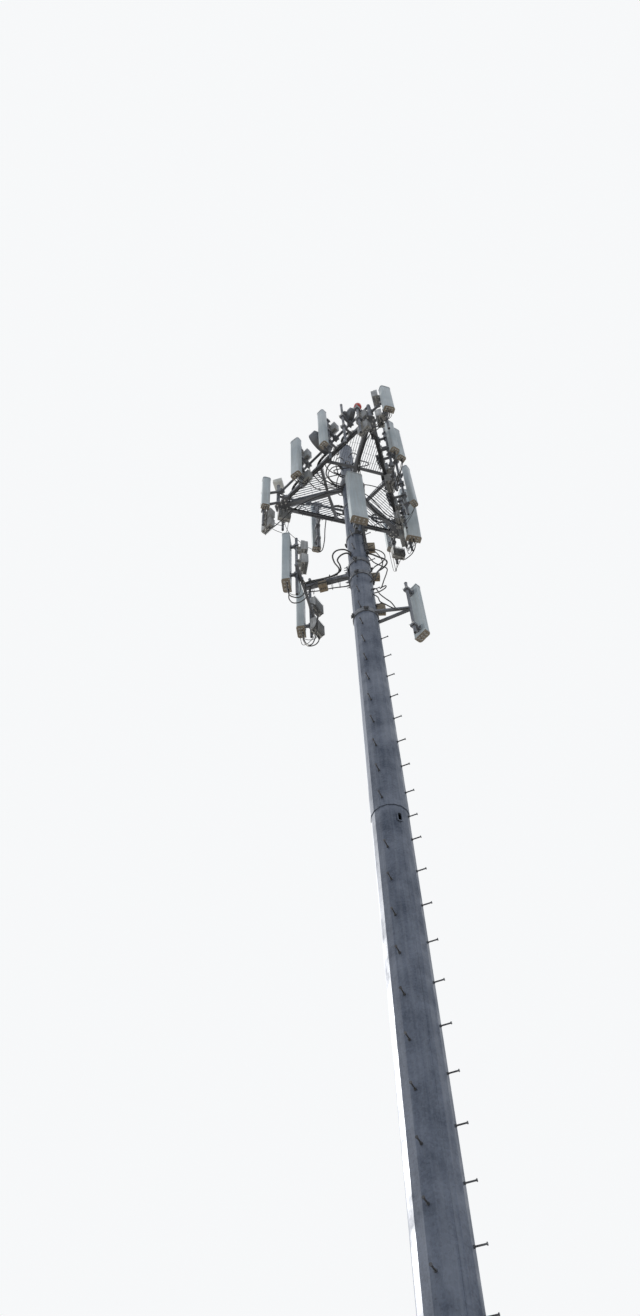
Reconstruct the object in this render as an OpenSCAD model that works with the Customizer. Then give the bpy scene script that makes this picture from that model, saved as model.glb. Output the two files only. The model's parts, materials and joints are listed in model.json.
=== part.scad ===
// Monopole cell tower: a tapered sixteen-sided shaft in two slipped sections, a triangular
// antenna platform near its top, two lower antenna arms and one panel on the shaft itself.
// Origin: centre of the base plate's underside. +Z runs up the shaft.
// A platform corner points to -X; the face between the other two corners looks to +X.

/* [Base plate] */
// Diameter of the round base plate
base_plate_d = 1000; // [940:10:1200]
// Thickness of the base plate
base_plate_t = 50; // [30:5:80]
// Diameter of the cable opening in the middle of the base plate
base_opening_d = 420; // [350:10:450]
// Diameter of the circle that the anchor holes lie on
anchor_circle_d = 860; // [840:5:900]
// Number of anchor holes
anchor_count = 12; // [8:1:16]
// Diameter of an anchor hole
anchor_hole_d = 64; // [40:2:70]

/* [Shaft] */
// Number of flat sides of the shaft
shaft_sides = 16; // [12:2:18]
// Turn of the shaft's first flat about the axis, in degrees
shaft_turn = -8.2; // [-11:0.1:11]
// Width across the flats of the lower section at the ground
shaft_foot_w = 680; // [640:10:720]
// Width lost by the lower section for each metre of height
lower_taper = 11.5; // [9:0.5:12]
// Wall of both sections
shaft_wall = 8; // [6:1:10]
// Height of the upper section's lower edge
joint_z = 12150; // [11000:50:13000]
// Length over which the sections overlap
lap_length = 850; // [600:50:950]
// Gap between the sections at the lower edge of the lap, on each side
lap_gap = 3; // [2:0.5:5]
// Width lost by the upper section for each metre of height
upper_taper = 17.5; // [14:0.5:18]
// Height of the shaft's top
shaft_top_z = 25900; // [25000:50:26400]
// Thickness of the cap that closes the top
cap_t = 10; // [6:1:20]

/* [Openings in the shaft] */
// Height of the middle of the hand hole near the ground
hand_hole_z = 1100; // [800:50:1500]
// Width of the hand hole near the ground
hand_hole_w = 260; // [200:10:260]
// Height of the hand hole near the ground
hand_hole_h = 600; // [400:10:700]
// Distance from the joint down to the middle of the lower cable port
port_drop = 250; // [240:10:800]
// Distance from the platform down to the middle of the two upper cable ports
exit_drop = 3680; // [3400:20:3900]
// Width of a cable port
port_w = 90; // [70:5:110]
// Height of a cable port
port_h = 180; // [140:5:220]
// Width of the rim round each opening
rim_w = 18; // [10:1:25]
// How far a rim stands out of the shaft
rim_out = 22; // [12:1:40]

/* [Step bolts] */
// Spacing of the step bolts in one row
step_pitch = 600; // [500:10:700]
// Diameter of a step bolt
step_d = 19; // [14:1:25]
// Length of a step bolt outside the shaft
step_length = 140; // [120:5:180]
// Height below which there are no step bolts
first_step_z = 2600; // [2200:50:3200]
// Distance from the platform down to where the step bolts end
last_step_drop = 700; // [500:50:1500]

/* [Platform] */
// Distance from the platform's middle plane up to the shaft's top
top_stub = 2280; // [2100:20:2400]
// Distance from the shaft's axis to where the outsides of two side beams would meet
corner_r = 1880; // [1800:10:1960]
// Height and width of the square arms
arm_w = 100; // [80:5:120]
// Wall of the arms
arm_wall = 6; // [4:1:8]
// Height of the collar that carries the arms
collar_h = 320; // [260:10:400]
// Thickness of the collar outside the shaft's corners
collar_t = 45; // [30:1:60]
// Height of a side beam
beam_h = 100; // [80:5:120]
// Width of a side beam's flange
beam_flange = 80; // [60:5:90]
// Thickness of a side beam's web and flanges
beam_t = 8; // [5:1:10]
// Distance from the shaft's axis to where the inner braces meet an arm
brace_r = 540; // [480:10:620]
// Thickness of a grating
grating_h = 30; // [20:1:40]
// Thickness of a grating's slats
slat_t = 8; // [5:1:10]
// Number of slats in each grating
slat_count = 13; // [8:1:18]
// Height of the rails above the platform's middle plane
rail_rise = 660; // [560:10:800]
// Outer diameter of a rail
rail_d = 60; // [48:1:73]
// Outer diameter of a corner post
post_d = 89; // [76:1:114]

/* [Antenna pipes] */
// Outer diameter of an antenna pipe
antenna_pipe_d = 60; // [48:1:73]
// Length of an antenna pipe
antenna_pipe_length = 2400; // [2300:50:2800]
// Length of a pipe that holds only radios
radio_pipe_length = 1700; // [1650:50:2000]
// Distance from the shaft's axis to an antenna pipe's axis
antenna_pipe_n = 1180; // [1120:5:1240]

/* [Panel antennas] */
// Length of a long panel antenna
long_panel_h = 2040; // [1900:10:2200]
// Length of a middle-sized panel antenna
middle_panel_h = 1680; // [1600:10:1800]
// Length of a short panel antenna
short_panel_h = 1560; // [1450:10:1600]
// Length of the corner panel antennas
corner_panel_h = 1370; // [1300:10:1450]
// Length of a wide panel antenna
wide_panel_h = 2300; // [2200:10:2400]
// Width of a common panel antenna
panel_w = 250; // [230:5:280]
// Width of a narrow panel antenna
narrow_panel_w = 200; // [180:5:220]
// Width of a wide panel antenna
wide_panel_w = 370; // [340:5:420]
// Depth of a panel antenna
panel_depth = 140; // [120:5:160]
// Depth of a wide panel antenna
wide_panel_depth = 170; // [150:5:190]
// Radius of a panel antenna's front edges
radome_round = 50; // [30:2:60]
// Height of the panel antennas' middles above the platform's middle plane
panel_rise = 300; // [200:10:400]
// Gap between a panel antenna's back and its pipe
panel_gap = 100; // [80:5:130]
// Downward tilt of the widest platform panel, in degrees
panel_tilt = 4; // [0:0.5:6]

/* [Radios] */
// Width of a radio
radio_w = 300; // [260:5:340]
// Depth of a radio
radio_d = 150; // [110:5:160]
// Height of a radio
radio_h = 400; // [360:10:420]
// Number of cooling fins on a radio
fin_count = 9; // [5:1:12]

/* [Dishes and light] */
// Diameter of the large dish antenna
dish_d = 620; // [560:10:660]
// Depth of the large dish antenna's shroud
dish_depth = 240; // [200:10:300]
// Diameter of the small dish antenna
small_dish_d = 350; // [300:10:400]
// Diameter of the obstruction light's lens
light_d = 190; // [150:5:210]
// Height of the obstruction light's lens
light_h = 160; // [140:5:200]

/* [Lower left arm] */
// Distance from the platform down to the lower left arm
left_arm_drop = 4220; // [4100:10:4400]
// Distance from the shaft's axis to the cross pipe of the lower left arm
left_arm_reach = 1200; // [1100:10:1300]
// Length of the cross pipe on the lower left arm
cross_pipe_length = 1700; // [1600:10:2000]
// Outer diameter of the cross pipe
cross_pipe_d = 73; // [60:1:89]

/* [Lower right arm] */
// Distance from the platform down to the lower right arm
right_arm_drop = 6020; // [5800:10:6200]
// Distance from the shaft's axis to the upright pipe of the lower right arm
right_arm_reach = 870; // [800:10:1000]

/* [Front panel] */
// Distance from the platform down to the middle of the panel on the shaft
front_panel_drop = 2000; // [1900:10:2100]
// Distance from the shaft's axis to the upright pipe that holds this panel
front_pipe_r = 470; // [440:10:520]

/* [Cables] */
// Diameter of a feeder cable
feeder_d = 34; // [24:1:40]
// Diameter of a jumper cable
jumper_d = 24; // [16:1:28]

/* [Hidden] */
eps = 1;
platform_z = shaft_top_z - top_stub;
rail_z = platform_z + rail_rise;
left_arm_z = platform_z - left_arm_drop;
right_arm_z = platform_z - right_arm_drop;
front_panel_z = platform_z - front_panel_drop;
port_z = joint_z - port_drop;
exit_z = platform_z - exit_drop;
lower_top_z = joint_z + lap_length;
lower_w_at_joint = lower_w(joint_z);
upper_foot_w = lower_w_at_joint + 2 * (shaft_wall + lap_gap);
base_fn = 96;
pipe_fn = 32;
face_angles = [240, 0, 120];
corner_angles = [180, 300, 60];
side_n = corner_r * cos(60);
beam_end_gap = 120;
beam_half = corner_r * sin(60) - beam_end_gap;
rail_n = side_n - beam_flange / 4;
post_r = corner_r - beam_flange;
post_n = post_r * cos(60);
post_slot = post_r * sin(60);
louvre_rise = 560;
crossover_t = 12;
plate_w = 170;
clamp_w = 110;
bar_w = 50;
arm_bar_w = 60;
band_t = 14;

// Flats that the openings are cut in
hand_hole_turn = shaft_turn - 90;
port_turn = shaft_turn - 45;
exit_turns = [shaft_turn - 112.5, shaft_turn - 22.5];

// Antenna pipes on each face: place along the face, and distance beyond antenna_pipe_n.
// Rises are the heights of the panels' middles above the platform's middle plane.
left_places = [[-1760, 0], [-460, 0], [485, 0]];
left_turns = [60, 8, 0];
left_rises = [panel_rise, panel_rise, panel_rise + 170];
left_heights = [short_panel_h, long_panel_h, long_panel_h];
left_widths = [narrow_panel_w, panel_w, narrow_panel_w];
right_places = [[-1600, 80], [-710, -60], [-480, 40], [560, 30], [1500, -90]];
right_turns = [-58, -43, -43, -20, -62];
right_heights = [corner_panel_h, middle_panel_h, middle_panel_h, long_panel_h, wide_panel_h];
right_widths = [panel_w, narrow_panel_w, narrow_panel_w, narrow_panel_w, wide_panel_w];
far_places = [[-1450, 0], [-600, 0], [500, 0]];
far_heights = [corner_panel_h, long_panel_h, wide_panel_h];
far_rises = [panel_rise + 400, panel_rise, panel_rise];
mast_place = [975, 0];

// Pipes that hold only radios
left_radio_places = [[1350, -110]];
right_radio_places = [[0, -90], [1000, -90]];
far_radio_places = [[1400, -110]];

// Heights of the radios against the platform's middle plane, clear of the clamps
low_radio = -radio_h / 2 - 130;
lowest_radio = low_radio - radio_h - 60;
corner_radio = low_radio - 100;
middle_radio = rail_rise / 2;
high_radio = rail_rise + radio_h / 2 + 100;
bracket_inset = 190;

// Cable routes: diameter, a direction that the cable never runs along, and points along it,
// with heights against the platform's middle plane. Through the left port, along the arm
// and in loops to its two panels:
left_routes = [
    [feeder_d, [0, 1, 0], [[-78, -150, -3655], [-95, -180, -3650], [-220, -250, -3520],
        [-400, -260, -3480], [-500, -240, -3610], [-480, -200, -3860], [-400, -160, -4110], [-480, -120, -4240],
        [-700, -85, -4190], [-1010, -85, -4230], [-1120, -160, -4330], [-1165, -190, -4245]]],
    [feeder_d, [0.3, 1, 0.3], [[-80, -135, -3725], [-125, -205, -3736], [-200, -255, -3690],
        [-330, -250, -3720], [-410, -220, -3830], [-370, -180, -4020], [-390, -110, -4110], [-560, -60, -4130],
        [-760, -55, -4140], [-1050, -60, -4125], [-1180, -70, -4175]]],
    [jumper_d, [0, 1, 0], [[-190, 110, -4420], [-330, 112, -4400], [-620, 110, -4330],
        [-900, 105, -4310], [-1165, 95, -4250]]],
    [jumper_d, [0, 1, 0], [[-200, -100, -4470], [-330, -110, -4440], [-620, -110, -4400],
        [-900, -105, -4380], [-1100, -60, -4330], [-1170, -30, -4250]]],
    [jumper_d, [0, 1, 0], [[-1455, -365, -4480], [-1450, -365, -4700], [-1430, -350, -4900],
        [-1380, -330, -5010], [-1260, -250, -4990], [-1170, -160, -4750], [-1130, -130, -4450],
        [-1165, -125, -4250]]],
    [jumper_d, [0, 1, 0], [[-1475, -205, -4480], [-1465, -210, -4700], [-1450, -230, -4930],
        [-1370, -230, -5110], [-1230, -180, -5060], [-1120, -90, -4760], [-1070, -30, -4440],
        [-1060, -15, -4280]]],
    [jumper_d, [0.4, 1, 0], [[-1187, 687, -4015], [-1150, 650, -4150], [-1088, 592, -4350],
        [-1088, 590, -4750], [-1140, 640, -5050], [-1230, 700, -5260], [-1340, 740, -5230],
        [-1430, 775, -4960], [-1460, 775, -4640]]],
    [jumper_d, [0.4, 1, 0], [[-1170, 400, -4225], [-1075, 420, -4330], [-1040, 480, -4600],
        [-1100, 520, -4880], [-1200, 605, -4960], [-1187, 687, -4855]]],
    [jumper_d, [0, 1, 0], [[-1135, 828, -4855], [-1140, 835, -5020], [-1230, 845, -5120],
        [-1380, 850, -5080], [-1465, 848, -4850], [-1474, 848, -4640]]]];

// Through the right port and down to the lower right arm
right_routes = [
    [feeder_d, [0, 1, 0], [[160, -84, -3655], [190, -100, -3650], [300, -130, -3780], [430, -150, -4000],
        [560, -150, -4180], [590, -150, -4340], [500, -130, -4460], [380, -130, -4560],
        [330, -130, -4720], [205, -95, -4850]]],
    [jumper_d, [0, 1, 0], [[150, -90, -3725], [205, -122, -3742], [310, -60, -4000], [450, -60, -4230],
        [560, -60, -4400], [540, -80, -4620], [470, -100, -4900], [400, -70, -5090],
        [370, -110, -5200], [430, -160, -5250], [490, -120, -5170], [465, -40, -5110],
        [340, 0, -5120], [222, -5, -5140]]],
    [jumper_d, [0, 1, 0], [[165, -135, -3600], [230, -180, -3620], [340, -200, -3700],
        [480, -230, -3900], [570, -230, -4100], [560, -220, -4300], [440, -210, -4420],
        [330, -190, -4450], [200, -110, -4520]]],
    [jumper_d, [0, 1, 0], [[190, -105, -5140], [290, -120, -5190], [350, -130, -5440],
        [450, -140, -5680], [540, -130, -5850], [600, -70, -5990]]],
    [jumper_d, [0, 1, 0], [[200, -75, -5270], [300, -110, -5500], [330, -120, -5700],
        [430, -150, -5900], [540, -130, -6040], [640, -75, -6060], [740, -50, -6060],
        [830, -40, -6044]]],
    [jumper_d, [0, 1, 0], [[200, 40, -3250], [330, 60, -3300], [420, 80, -3500],
        [480, 80, -3800], [450, 70, -4050], [340, 76, -4200], [300, 76, -4330]]]];

// From the shaft out to the platform's radios and beams, and from the radios to the panels
platform_routes = [
    [feeder_d, [0.3, 1, 0.2], [[-110, -125, 1010], [-350, -375, 1020], [-580, -400, 830],
        [-690, -370, 500], [-590, -310, 230], [-450, -250, 60], [-300, -180, -120],
        [-150, -100, -240]]],
    [feeder_d, [0.3, 1, 0.2], [[-110, -130, 850], [-260, -350, 900], [-410, -370, 740],
        [-490, -310, 450], [-430, -240, 200], [-340, -190, 30], [-205, -130, -60]]],
    [jumper_d, [0.4, 1, 0], [[-990, -645, 740], [-1000, -590, 400], [-1000, -560, 60],
        [-985, -550, -60], [-930, -515, -110], [-860, -480, -220], [-740, -400, -440],
        [-560, -350, -510], [-400, -290, -390], [-150, -120, -330]]],
    [jumper_d, [0.4, 1, 0], [[-860, -720, 740], [-830, -700, 400], [-800, -680, 60],
        [-790, -670, -50], [-740, -610, -105], [-680, -540, -220], [-580, -430, -330],
        [-430, -330, -280], [-270, -250, -230], [-110, -140, -225]]],
    [jumper_d, [0, 1, 0.2], [[-1987, -71, -1100], [-1975, -75, -1200], [-1850, -100, -1210],
        [-1650, -120, -1000], [-1350, -135, -620], [-950, -140, -380], [-520, -130, -270],
        [-170, -60, -250]]],
    [jumper_d, [1, 0.5, 0], [[-1070, 950, -870], [-1060, 960, -980], [-960, 900, -1000],
        [-880, 820, -700], [-840, 760, -300], [-760, 605, -60]]],
    [jumper_d, [0.3, 1, 0], [[1178, 1335, -870], [1190, 1345, -1150], [1080, 1430, -1330],
        [880, 1570, -1270], [795, 1675, -1010]]],
    [jumper_d, [0.3, 1, 0], [[1095, 1290, -870], [1090, 1310, -1080], [1020, 1380, -1180],
        [970, 1420, -900], [965, 1425, -550]]],
    [jumper_d, [0.3, 1, 0], [[1250, -830, -560], [1240, -800, -780], [1120, -500, -900],
        [1000, -200, -800], [965, -75, -550]]],
    [jumper_d, [0.3, 1, 0], [[1350, -600, -560], [1350, -560, -760], [1200, -300, -880],
        [1000, 60, -780], [965, 75, -550]]],
    [jumper_d, [0.3, 1, 0], [[1355, -1750, -405], [1350, -1740, -620], [1260, -1690, -760],
        [1150, -1670, -720], [1135, -1675, -550]]],
    [jumper_d, [0, 0, 1], [[165, -75, -215], [290, -100, -230], [450, -60, -260],
        [650, 60, -260], [820, 240, -220], [900, 460, -60]]],
    [jumper_d, [0, 0, 1], [[170, 60, -200], [280, 110, -230], [420, 260, -280],
        [560, 520, -290], [680, 800, -260], [880, 1060, -60]]],
    [jumper_d, [0.3, 1, 0], [[-1050, -955, -740], [-1045, -945, -900], [-955, -860, -990],
        [-870, -750, -820], [-862, -722, -550]]],
    [jumper_d, [1, 0.4, 0], [[-260, -1415, -570], [-240, -1390, -800], [-90, -1330, -900],
        [0, -1180, -700], [-20, -1050, -250], [-30, -1020, -60]]]];

function lower_w(z) = shaft_foot_w - lower_taper * z / 1000;
function upper_w(z) = upper_foot_w - upper_taper * (z - joint_z) / 1000;
function shaft_w(z) = z < joint_z ? lower_w(z) : upper_w(z);
function corner_radius(w) = w / 2 / cos(180 / shaft_sides);
function between(a, b, f) = a + (b - a) * f;

// Frustum with the shaft's flat sides, w across the flats at each end
module flat_sided(z_low, w_low, z_high, w_high) {
    half_step = 180 / shaft_sides;
    translate([0, 0, z_low])
        linear_extrude(height = z_high - z_low, scale = w_high / w_low)
            polygon([for (k = [0 : shaft_sides - 1])
                corner_radius(w_low) * [cos(shaft_turn + half_step * (2 * k + 1)),
                    sin(shaft_turn + half_step * (2 * k + 1))]]);
}

// Outside of the shaft between two heights on one section, grown by extra on each side
module shaft_outside(z_low, z_high, extra = 0) {
    flat_sided(z_low, shaft_w(z_low) + 2 * extra, z_high, shaft_w(z_high) + 2 * extra);
}

// Upright slot shape with round ends, cut or drawn from the axis outwards along one flat
module slot_shape(w, h) {
    square([w, h - w], center = true);
    for (side = [-1, 1])
        translate([0, side * (h - w) / 2]) circle(d = w, $fn = pipe_fn);
}

module slot_bar(z, w, h, from, to) {
    translate([0, 0, z]) rotate([90, 0, 90]) translate([0, 0, from])
        linear_extrude(height = to - from) slot_shape(w, h);
}

module base_plate() {
    color("slategray")
    difference() {
        cylinder(d = base_plate_d, h = base_plate_t, $fn = base_fn);
        translate([0, 0, -eps]) cylinder(d = base_opening_d, h = base_plate_t + 2 * eps, $fn = base_fn);
        for (k = [0 : anchor_count - 1])
            rotate([0, 0, shaft_turn + 360 / anchor_count * (k + 0.5)])
                translate([anchor_circle_d / 2, 0, -eps])
                    cylinder(d = anchor_hole_d, h = base_plate_t + 2 * eps, $fn = pipe_fn);
    }
}

module lower_shaft() {
    inner = -2 * shaft_wall;
    color("lightslategray")
    difference() {
        flat_sided(base_plate_t, lower_w(base_plate_t), lower_top_z, lower_w(lower_top_z));
        flat_sided(base_plate_t - eps, lower_w(base_plate_t - eps) + inner,
            lower_top_z + eps, lower_w(lower_top_z + eps) + inner);
        rotate([0, 0, hand_hole_turn])
            slot_bar(hand_hole_z, hand_hole_w, hand_hole_h, shaft_foot_w / 4, shaft_foot_w);
        rotate([0, 0, port_turn])
            slot_bar(port_z, port_w, port_h, shaft_foot_w / 4, shaft_foot_w);
    }
}

module upper_shaft() {
    inner = -2 * shaft_wall;
    color("lightslategray")
    difference() {
        flat_sided(joint_z, upper_w(joint_z), shaft_top_z, upper_w(shaft_top_z));
        flat_sided(joint_z - eps, upper_w(joint_z - eps) + inner,
            shaft_top_z + eps, upper_w(shaft_top_z + eps) + inner);
        for (turn = exit_turns)
            rotate([0, 0, turn])
                slot_bar(exit_z, port_w, port_h, shaft_w(exit_z) / 4, shaft_w(exit_z));
    }
}

module shaft_cap() {
    color("slategray")
    translate([0, 0, shaft_top_z])
        cylinder(r = corner_radius(upper_w(shaft_top_z)) + cap_t, h = cap_t, $fn = pipe_fn);
}

// Rim welded into an opening, flush inside and standing out of the flat
module rim(z, w, h, turn) {
    inside = shaft_w(z + h / 2) / 2 - shaft_wall;
    outside = shaft_w(z - h / 2) / 2 + rim_out;
    rotate([0, 0, turn])
    difference() {
        slot_bar(z, w, h, inside, outside);
        slot_bar(z, w - 2 * rim_w, h - 2 * rim_w, inside - eps, outside + eps);
    }
}

module hand_hole_rim() {
    color("gray") rim(hand_hole_z, hand_hole_w, hand_hole_h, hand_hole_turn);
}

module port_rim() {
    color("gray") {
        rim(port_z, port_w, port_h, port_turn);
        for (turn = exit_turns) rim(exit_z, port_w, port_h, turn);
    }
}

// One step bolt at height z, with a nut at the shaft and a round head at the tip
module step_bolt(turn, z) {
    translate([0, 0, z]) rotate([0, 0, turn]) translate([shaft_w(z) / 2, 0, 0])
        rotate([0, 90, 0]) {
            cylinder(d = step_d, h = step_length, $fn = 16);
            cylinder(d = 1.9 * step_d, h = 0.8 * step_d, $fn = 6);
            translate([0, 0, step_length - 0.5 * step_d])
                cylinder(d = 1.8 * step_d, h = 0.5 * step_d, $fn = 16);
        }
}

// Two runs of step bolts on one flat, which start at set distances above and below the joint
module step_row(turn, above, below) {
    for (z = [joint_z + above : step_pitch : platform_z - last_step_drop]) step_bolt(turn, z);
    for (z = [joint_z - below : -step_pitch : first_step_z]) step_bolt(turn, z);
}

module front_step_bolts() {
    color("dimgray") step_row(shaft_turn - 90, 170, 820);
}

module side_step_bolts() {
    color("dimgray") {
        step_row(shaft_turn, 420, 550);
        step_bolt(shaft_turn, joint_z - 90);
    }
}

module platform_collar() {
    low = platform_z - collar_h / 2;
    color("slategray")
    difference() {
        translate([0, 0, low]) cylinder(r = collar_r, h = collar_h, $fn = base_fn);
        shaft_outside(low - eps, low + collar_h + eps);
    }
}

collar_r = corner_radius(shaft_w(platform_z - collar_h / 2)) + collar_t;

// Square arms, coped at the collar and at the corner posts
module platform_arms() {
    color("slategray")
    for (angle = corner_angles)
        rotate([0, 0, angle]) translate([0, 0, platform_z])
            difference() {
                translate([0, -arm_w / 2, -arm_w / 2]) cube([post_r, arm_w, arm_w]);
                translate([collar_r / 2, -arm_w / 2 + arm_wall, -arm_w / 2 + arm_wall])
                    cube([post_r, arm_w - 2 * arm_wall, arm_w - 2 * arm_wall]);
                translate([0, 0, -arm_w]) cylinder(r = collar_r, h = 2 * arm_w, $fn = base_fn);
                translate([post_r, 0, -arm_w]) cylinder(d = post_d, h = 2 * arm_w, $fn = pipe_fn);
            }
}

// Space that the two arms beside a face take up, for the pieces that end at their sides
module beside_arms() {
    for (side = [-60, 60])
        rotate([0, 0, side]) translate([0, -arm_w / 2, platform_z - arm_w])
            cube([2 * corner_r, arm_w, 2 * arm_w]);
}

// Gusset under each corner, between the two beams' ends and the arm
module corner_plates() {
    run_in = 370;
    margin = 20;
    half = 240;
    inside_r = corner_r - run_in;
    outside_r = post_r + post_d / 2 + margin;
    color("slategray")
    for (angle = corner_angles)
        rotate([0, 0, angle]) translate([0, 0, platform_z - arm_w / 2 - crossover_t])
            linear_extrude(height = crossover_t)
                polygon([[inside_r, -half], [inside_r, half], [outside_r, half / 3], [outside_r, -half / 3]]);
}

// Channels that open inwards and end at the arms
module side_beams() {
    color("slategray")
    for (angle = face_angles)
        rotate([0, 0, angle])
            difference() {
                translate([side_n - beam_flange, -beam_half, platform_z - beam_h / 2])
                    cube([beam_flange, 2 * beam_half, beam_h]);
                translate([side_n - beam_flange - eps, -beam_half - eps, platform_z - beam_h / 2 + beam_t])
                    cube([beam_flange - beam_t + eps, 2 * beam_half + 2 * eps, beam_h - 2 * beam_t]);
                beside_arms();
            }
}

// Straight bar between two points of the platform's plane
module plan_bar(from, to, w, z_low, h) {
    run = to - from;
    translate([from[0], from[1], z_low]) rotate([0, 0, atan2(run[1], run[0])])
        translate([0, -w / 2, 0]) cube([norm(run), w, h]);
}

// Bars from the arms to the middle of each beam, where they lie between its flanges
module inner_braces() {
    brace_w = 60;
    low = platform_z - beam_h / 2 + beam_t;
    color("slategray")
    for (angle = face_angles)
        rotate([0, 0, angle])
            difference() {
                for (side = [-1, 1])
                    plan_bar([brace_r * cos(60), side * brace_r * sin(60)], [side_n, side * brace_w],
                        brace_w, low, brace_w);
                translate([side_n - beam_t, -corner_r / 2, low - eps])
                    cube([corner_r / 2, corner_r, brace_w + 2 * eps]);
                beside_arms();
            }
}

// Two triangular gratings behind one side beam, with slats along the arms
module gratings(angle) {
    top = platform_z + beam_h / 2;
    edge_n = side_n - beam_flange / 2;
    corner_gap = 130;
    brace_gap = [30, 40];
    middle_gap = 30;
    rotate([0, 0, angle])
        for (side = [-1, 1]) {
            corner = [edge_n, side * (edge_n * tan(60) - corner_gap)];
            inner = [brace_r * cos(60) + brace_gap[0], side * (brace_r * sin(60) - brace_gap[1])];
            middle = [edge_n, side * middle_gap];
            for (edge = [[corner, inner], [inner, middle], [middle, corner]])
                plan_bar(edge[0], edge[1], slat_t, top, grating_h);
            for (k = [1 : slat_count - 1])
                plan_bar(between(corner, middle, k / slat_count), between(inner, middle, k / slat_count),
                    slat_t, top, grating_h);
        }
}

module left_gratings() {
    color("lightsteelblue") gratings(face_angles[0]);
}

module right_gratings() {
    color("lightsteelblue") gratings(face_angles[1]);
}

module far_gratings() {
    color("lightsteelblue") gratings(face_angles[2]);
}

module rail_bar() {
    translate([rail_n, 0, rail_z]) rotate([90, 0, 0])
        cylinder(d = rail_d, h = 2 * post_slot, center = true, $fn = pipe_fn);
}

// Rail along a face, coped at the corner post on each end
module face_pipe(angle) {
    rotate([0, 0, angle])
        difference() {
            rail_bar();
            for (side = [-1, 1])
                translate([post_n, side * post_slot, rail_z - rail_d])
                    cylinder(d = post_d, h = 2 * rail_d, $fn = pipe_fn);
        }
}

module left_face_pipe() {
    color("slategray") face_pipe(face_angles[0]);
}

module right_face_pipe() {
    color("slategray") face_pipe(face_angles[1]);
}

module far_face_pipe() {
    color("slategray") face_pipe(face_angles[2]);
}

// Posts that carry the rails; the first is taller and carries the louvred radio
module corner_posts() {
    foot = platform_z - arm_w / 2;
    short_top = rail_z + 100;
    tops = [rail_z + louvre_rise, short_top, short_top];
    color("slategray")
    for (k = [0 : 2])
        rotate([0, 0, corner_angles[k]]) translate([post_r, 0, foot])
            cylinder(d = post_d, h = tops[k] - foot, $fn = pipe_fn);
}

// Upright antenna pipe beside a face, with its middle at height z
module antenna_pipe(angle, place, z = platform_z + 150, length = antenna_pipe_length) {
    rotate([0, 0, angle]) translate([antenna_pipe_n + place[1], place[0], z])
        cylinder(d = antenna_pipe_d, h = length, center = true, $fn = pipe_fn);
}

module radio_pipe(angle, place) {
    antenna_pipe(angle, place, platform_z + 30, radio_pipe_length);
}

module left_antenna_pipes() {
    color("silver") {
        for (place = left_places) antenna_pipe(face_angles[0], place);
        antenna_pipe(face_angles[0], mast_place, platform_z + 260);
        for (place = left_radio_places) radio_pipe(face_angles[0], place);
    }
}

module right_antenna_pipes() {
    color("silver") {
        for (place = right_places) antenna_pipe(face_angles[1], place);
        for (place = right_radio_places) radio_pipe(face_angles[1], place);
    }
}

module far_antenna_pipes() {
    color("silver") {
        for (place = far_places) antenna_pipe(face_angles[2], place);
        for (place = far_radio_places) radio_pipe(face_angles[2], place);
    }
}

// Radome of a panel antenna: flat back at x = 0, rounded front edges, a cap on each end
// and two rows of cable sockets underneath
module radome(w, h, depth) {
    cap_h = 40;
    cap_out = 4;
    socket_d = 28;
    socket_h = 35;
    module profile(grow) {
        translate([-grow, -w / 2 - grow]) square([depth - radome_round + grow, w + 2 * grow]);
        translate([0, -w / 2 + radome_round]) square([depth + grow, w - 2 * radome_round]);
        for (side = [-1, 1])
            translate([depth - radome_round, side * (w / 2 - radome_round)])
                circle(r = radome_round + grow, $fn = pipe_fn);
    }
    translate([0, 0, -h / 2 + cap_h]) linear_extrude(height = h - 2 * cap_h) profile(0);
    for (z = [-h / 2, h / 2 - cap_h])
        translate([0, 0, z]) linear_extrude(height = cap_h) profile(cap_out);
    for (x = [depth / 3, depth * 2 / 3])
        for (side = [-1, 0, 1])
            translate([x, side * w / 4, -h / 2 - socket_h])
                cylinder(d = socket_d, h = socket_h + eps, $fn = 16);
}

// Panel antenna in front of an upright pipe, turned about that pipe and tilted on its lower bracket
module panel(w, h, turn, depth = panel_depth, tilt = 0) {
    rotate([0, 0, turn])
        translate([antenna_pipe_d / 2 + panel_gap, 0, -h / 2 + bracket_inset]) rotate([0, tilt, 0])
            translate([0, 0, h / 2 - bracket_inset]) radome(w, h, depth);
}

module face_panel(angle, place, rise, w, h, turn, depth = panel_depth, tilt = 0) {
    rotate([0, 0, angle]) translate([antenna_pipe_n + place[1], place[0], platform_z + rise])
        panel(w, h, turn, depth, tilt);
}

// Jaw round an upright pipe, an arm and a tilted pad that meets a panel's back at distance reach
module panel_bracket(reach, tilt) {
    jaw_out = antenna_pipe_d / 2 + 18;
    jaw_h = 70;
    pad_t = 10;
    difference() {
        union() {
            translate([-jaw_out, -clamp_w / 2, -jaw_h / 2]) cube([2 * jaw_out, clamp_w, jaw_h]);
            translate([0, -bar_w / 2, -jaw_h / 2]) cube([reach - pad_t / 2, bar_w, jaw_h]);
            translate([reach, 0, 0]) rotate([0, tilt, 0])
                translate([-pad_t, -clamp_w / 2, -jaw_h]) cube([pad_t, clamp_w, 2 * jaw_h]);
        }
        cylinder(d = antenna_pipe_d, h = 2 * jaw_h, center = true, $fn = pipe_fn);
    }
}

module panel_brackets(h, turn, tilt = 0, inset = bracket_inset) {
    span = h - 2 * inset;
    reach = antenna_pipe_d / 2 + panel_gap;
    rotate([0, 0, turn]) {
        translate([0, 0, -span / 2]) panel_bracket(reach, tilt);
        translate([0, 0, span / 2]) panel_bracket(reach + span * tan(tilt), tilt);
    }
}

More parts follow.
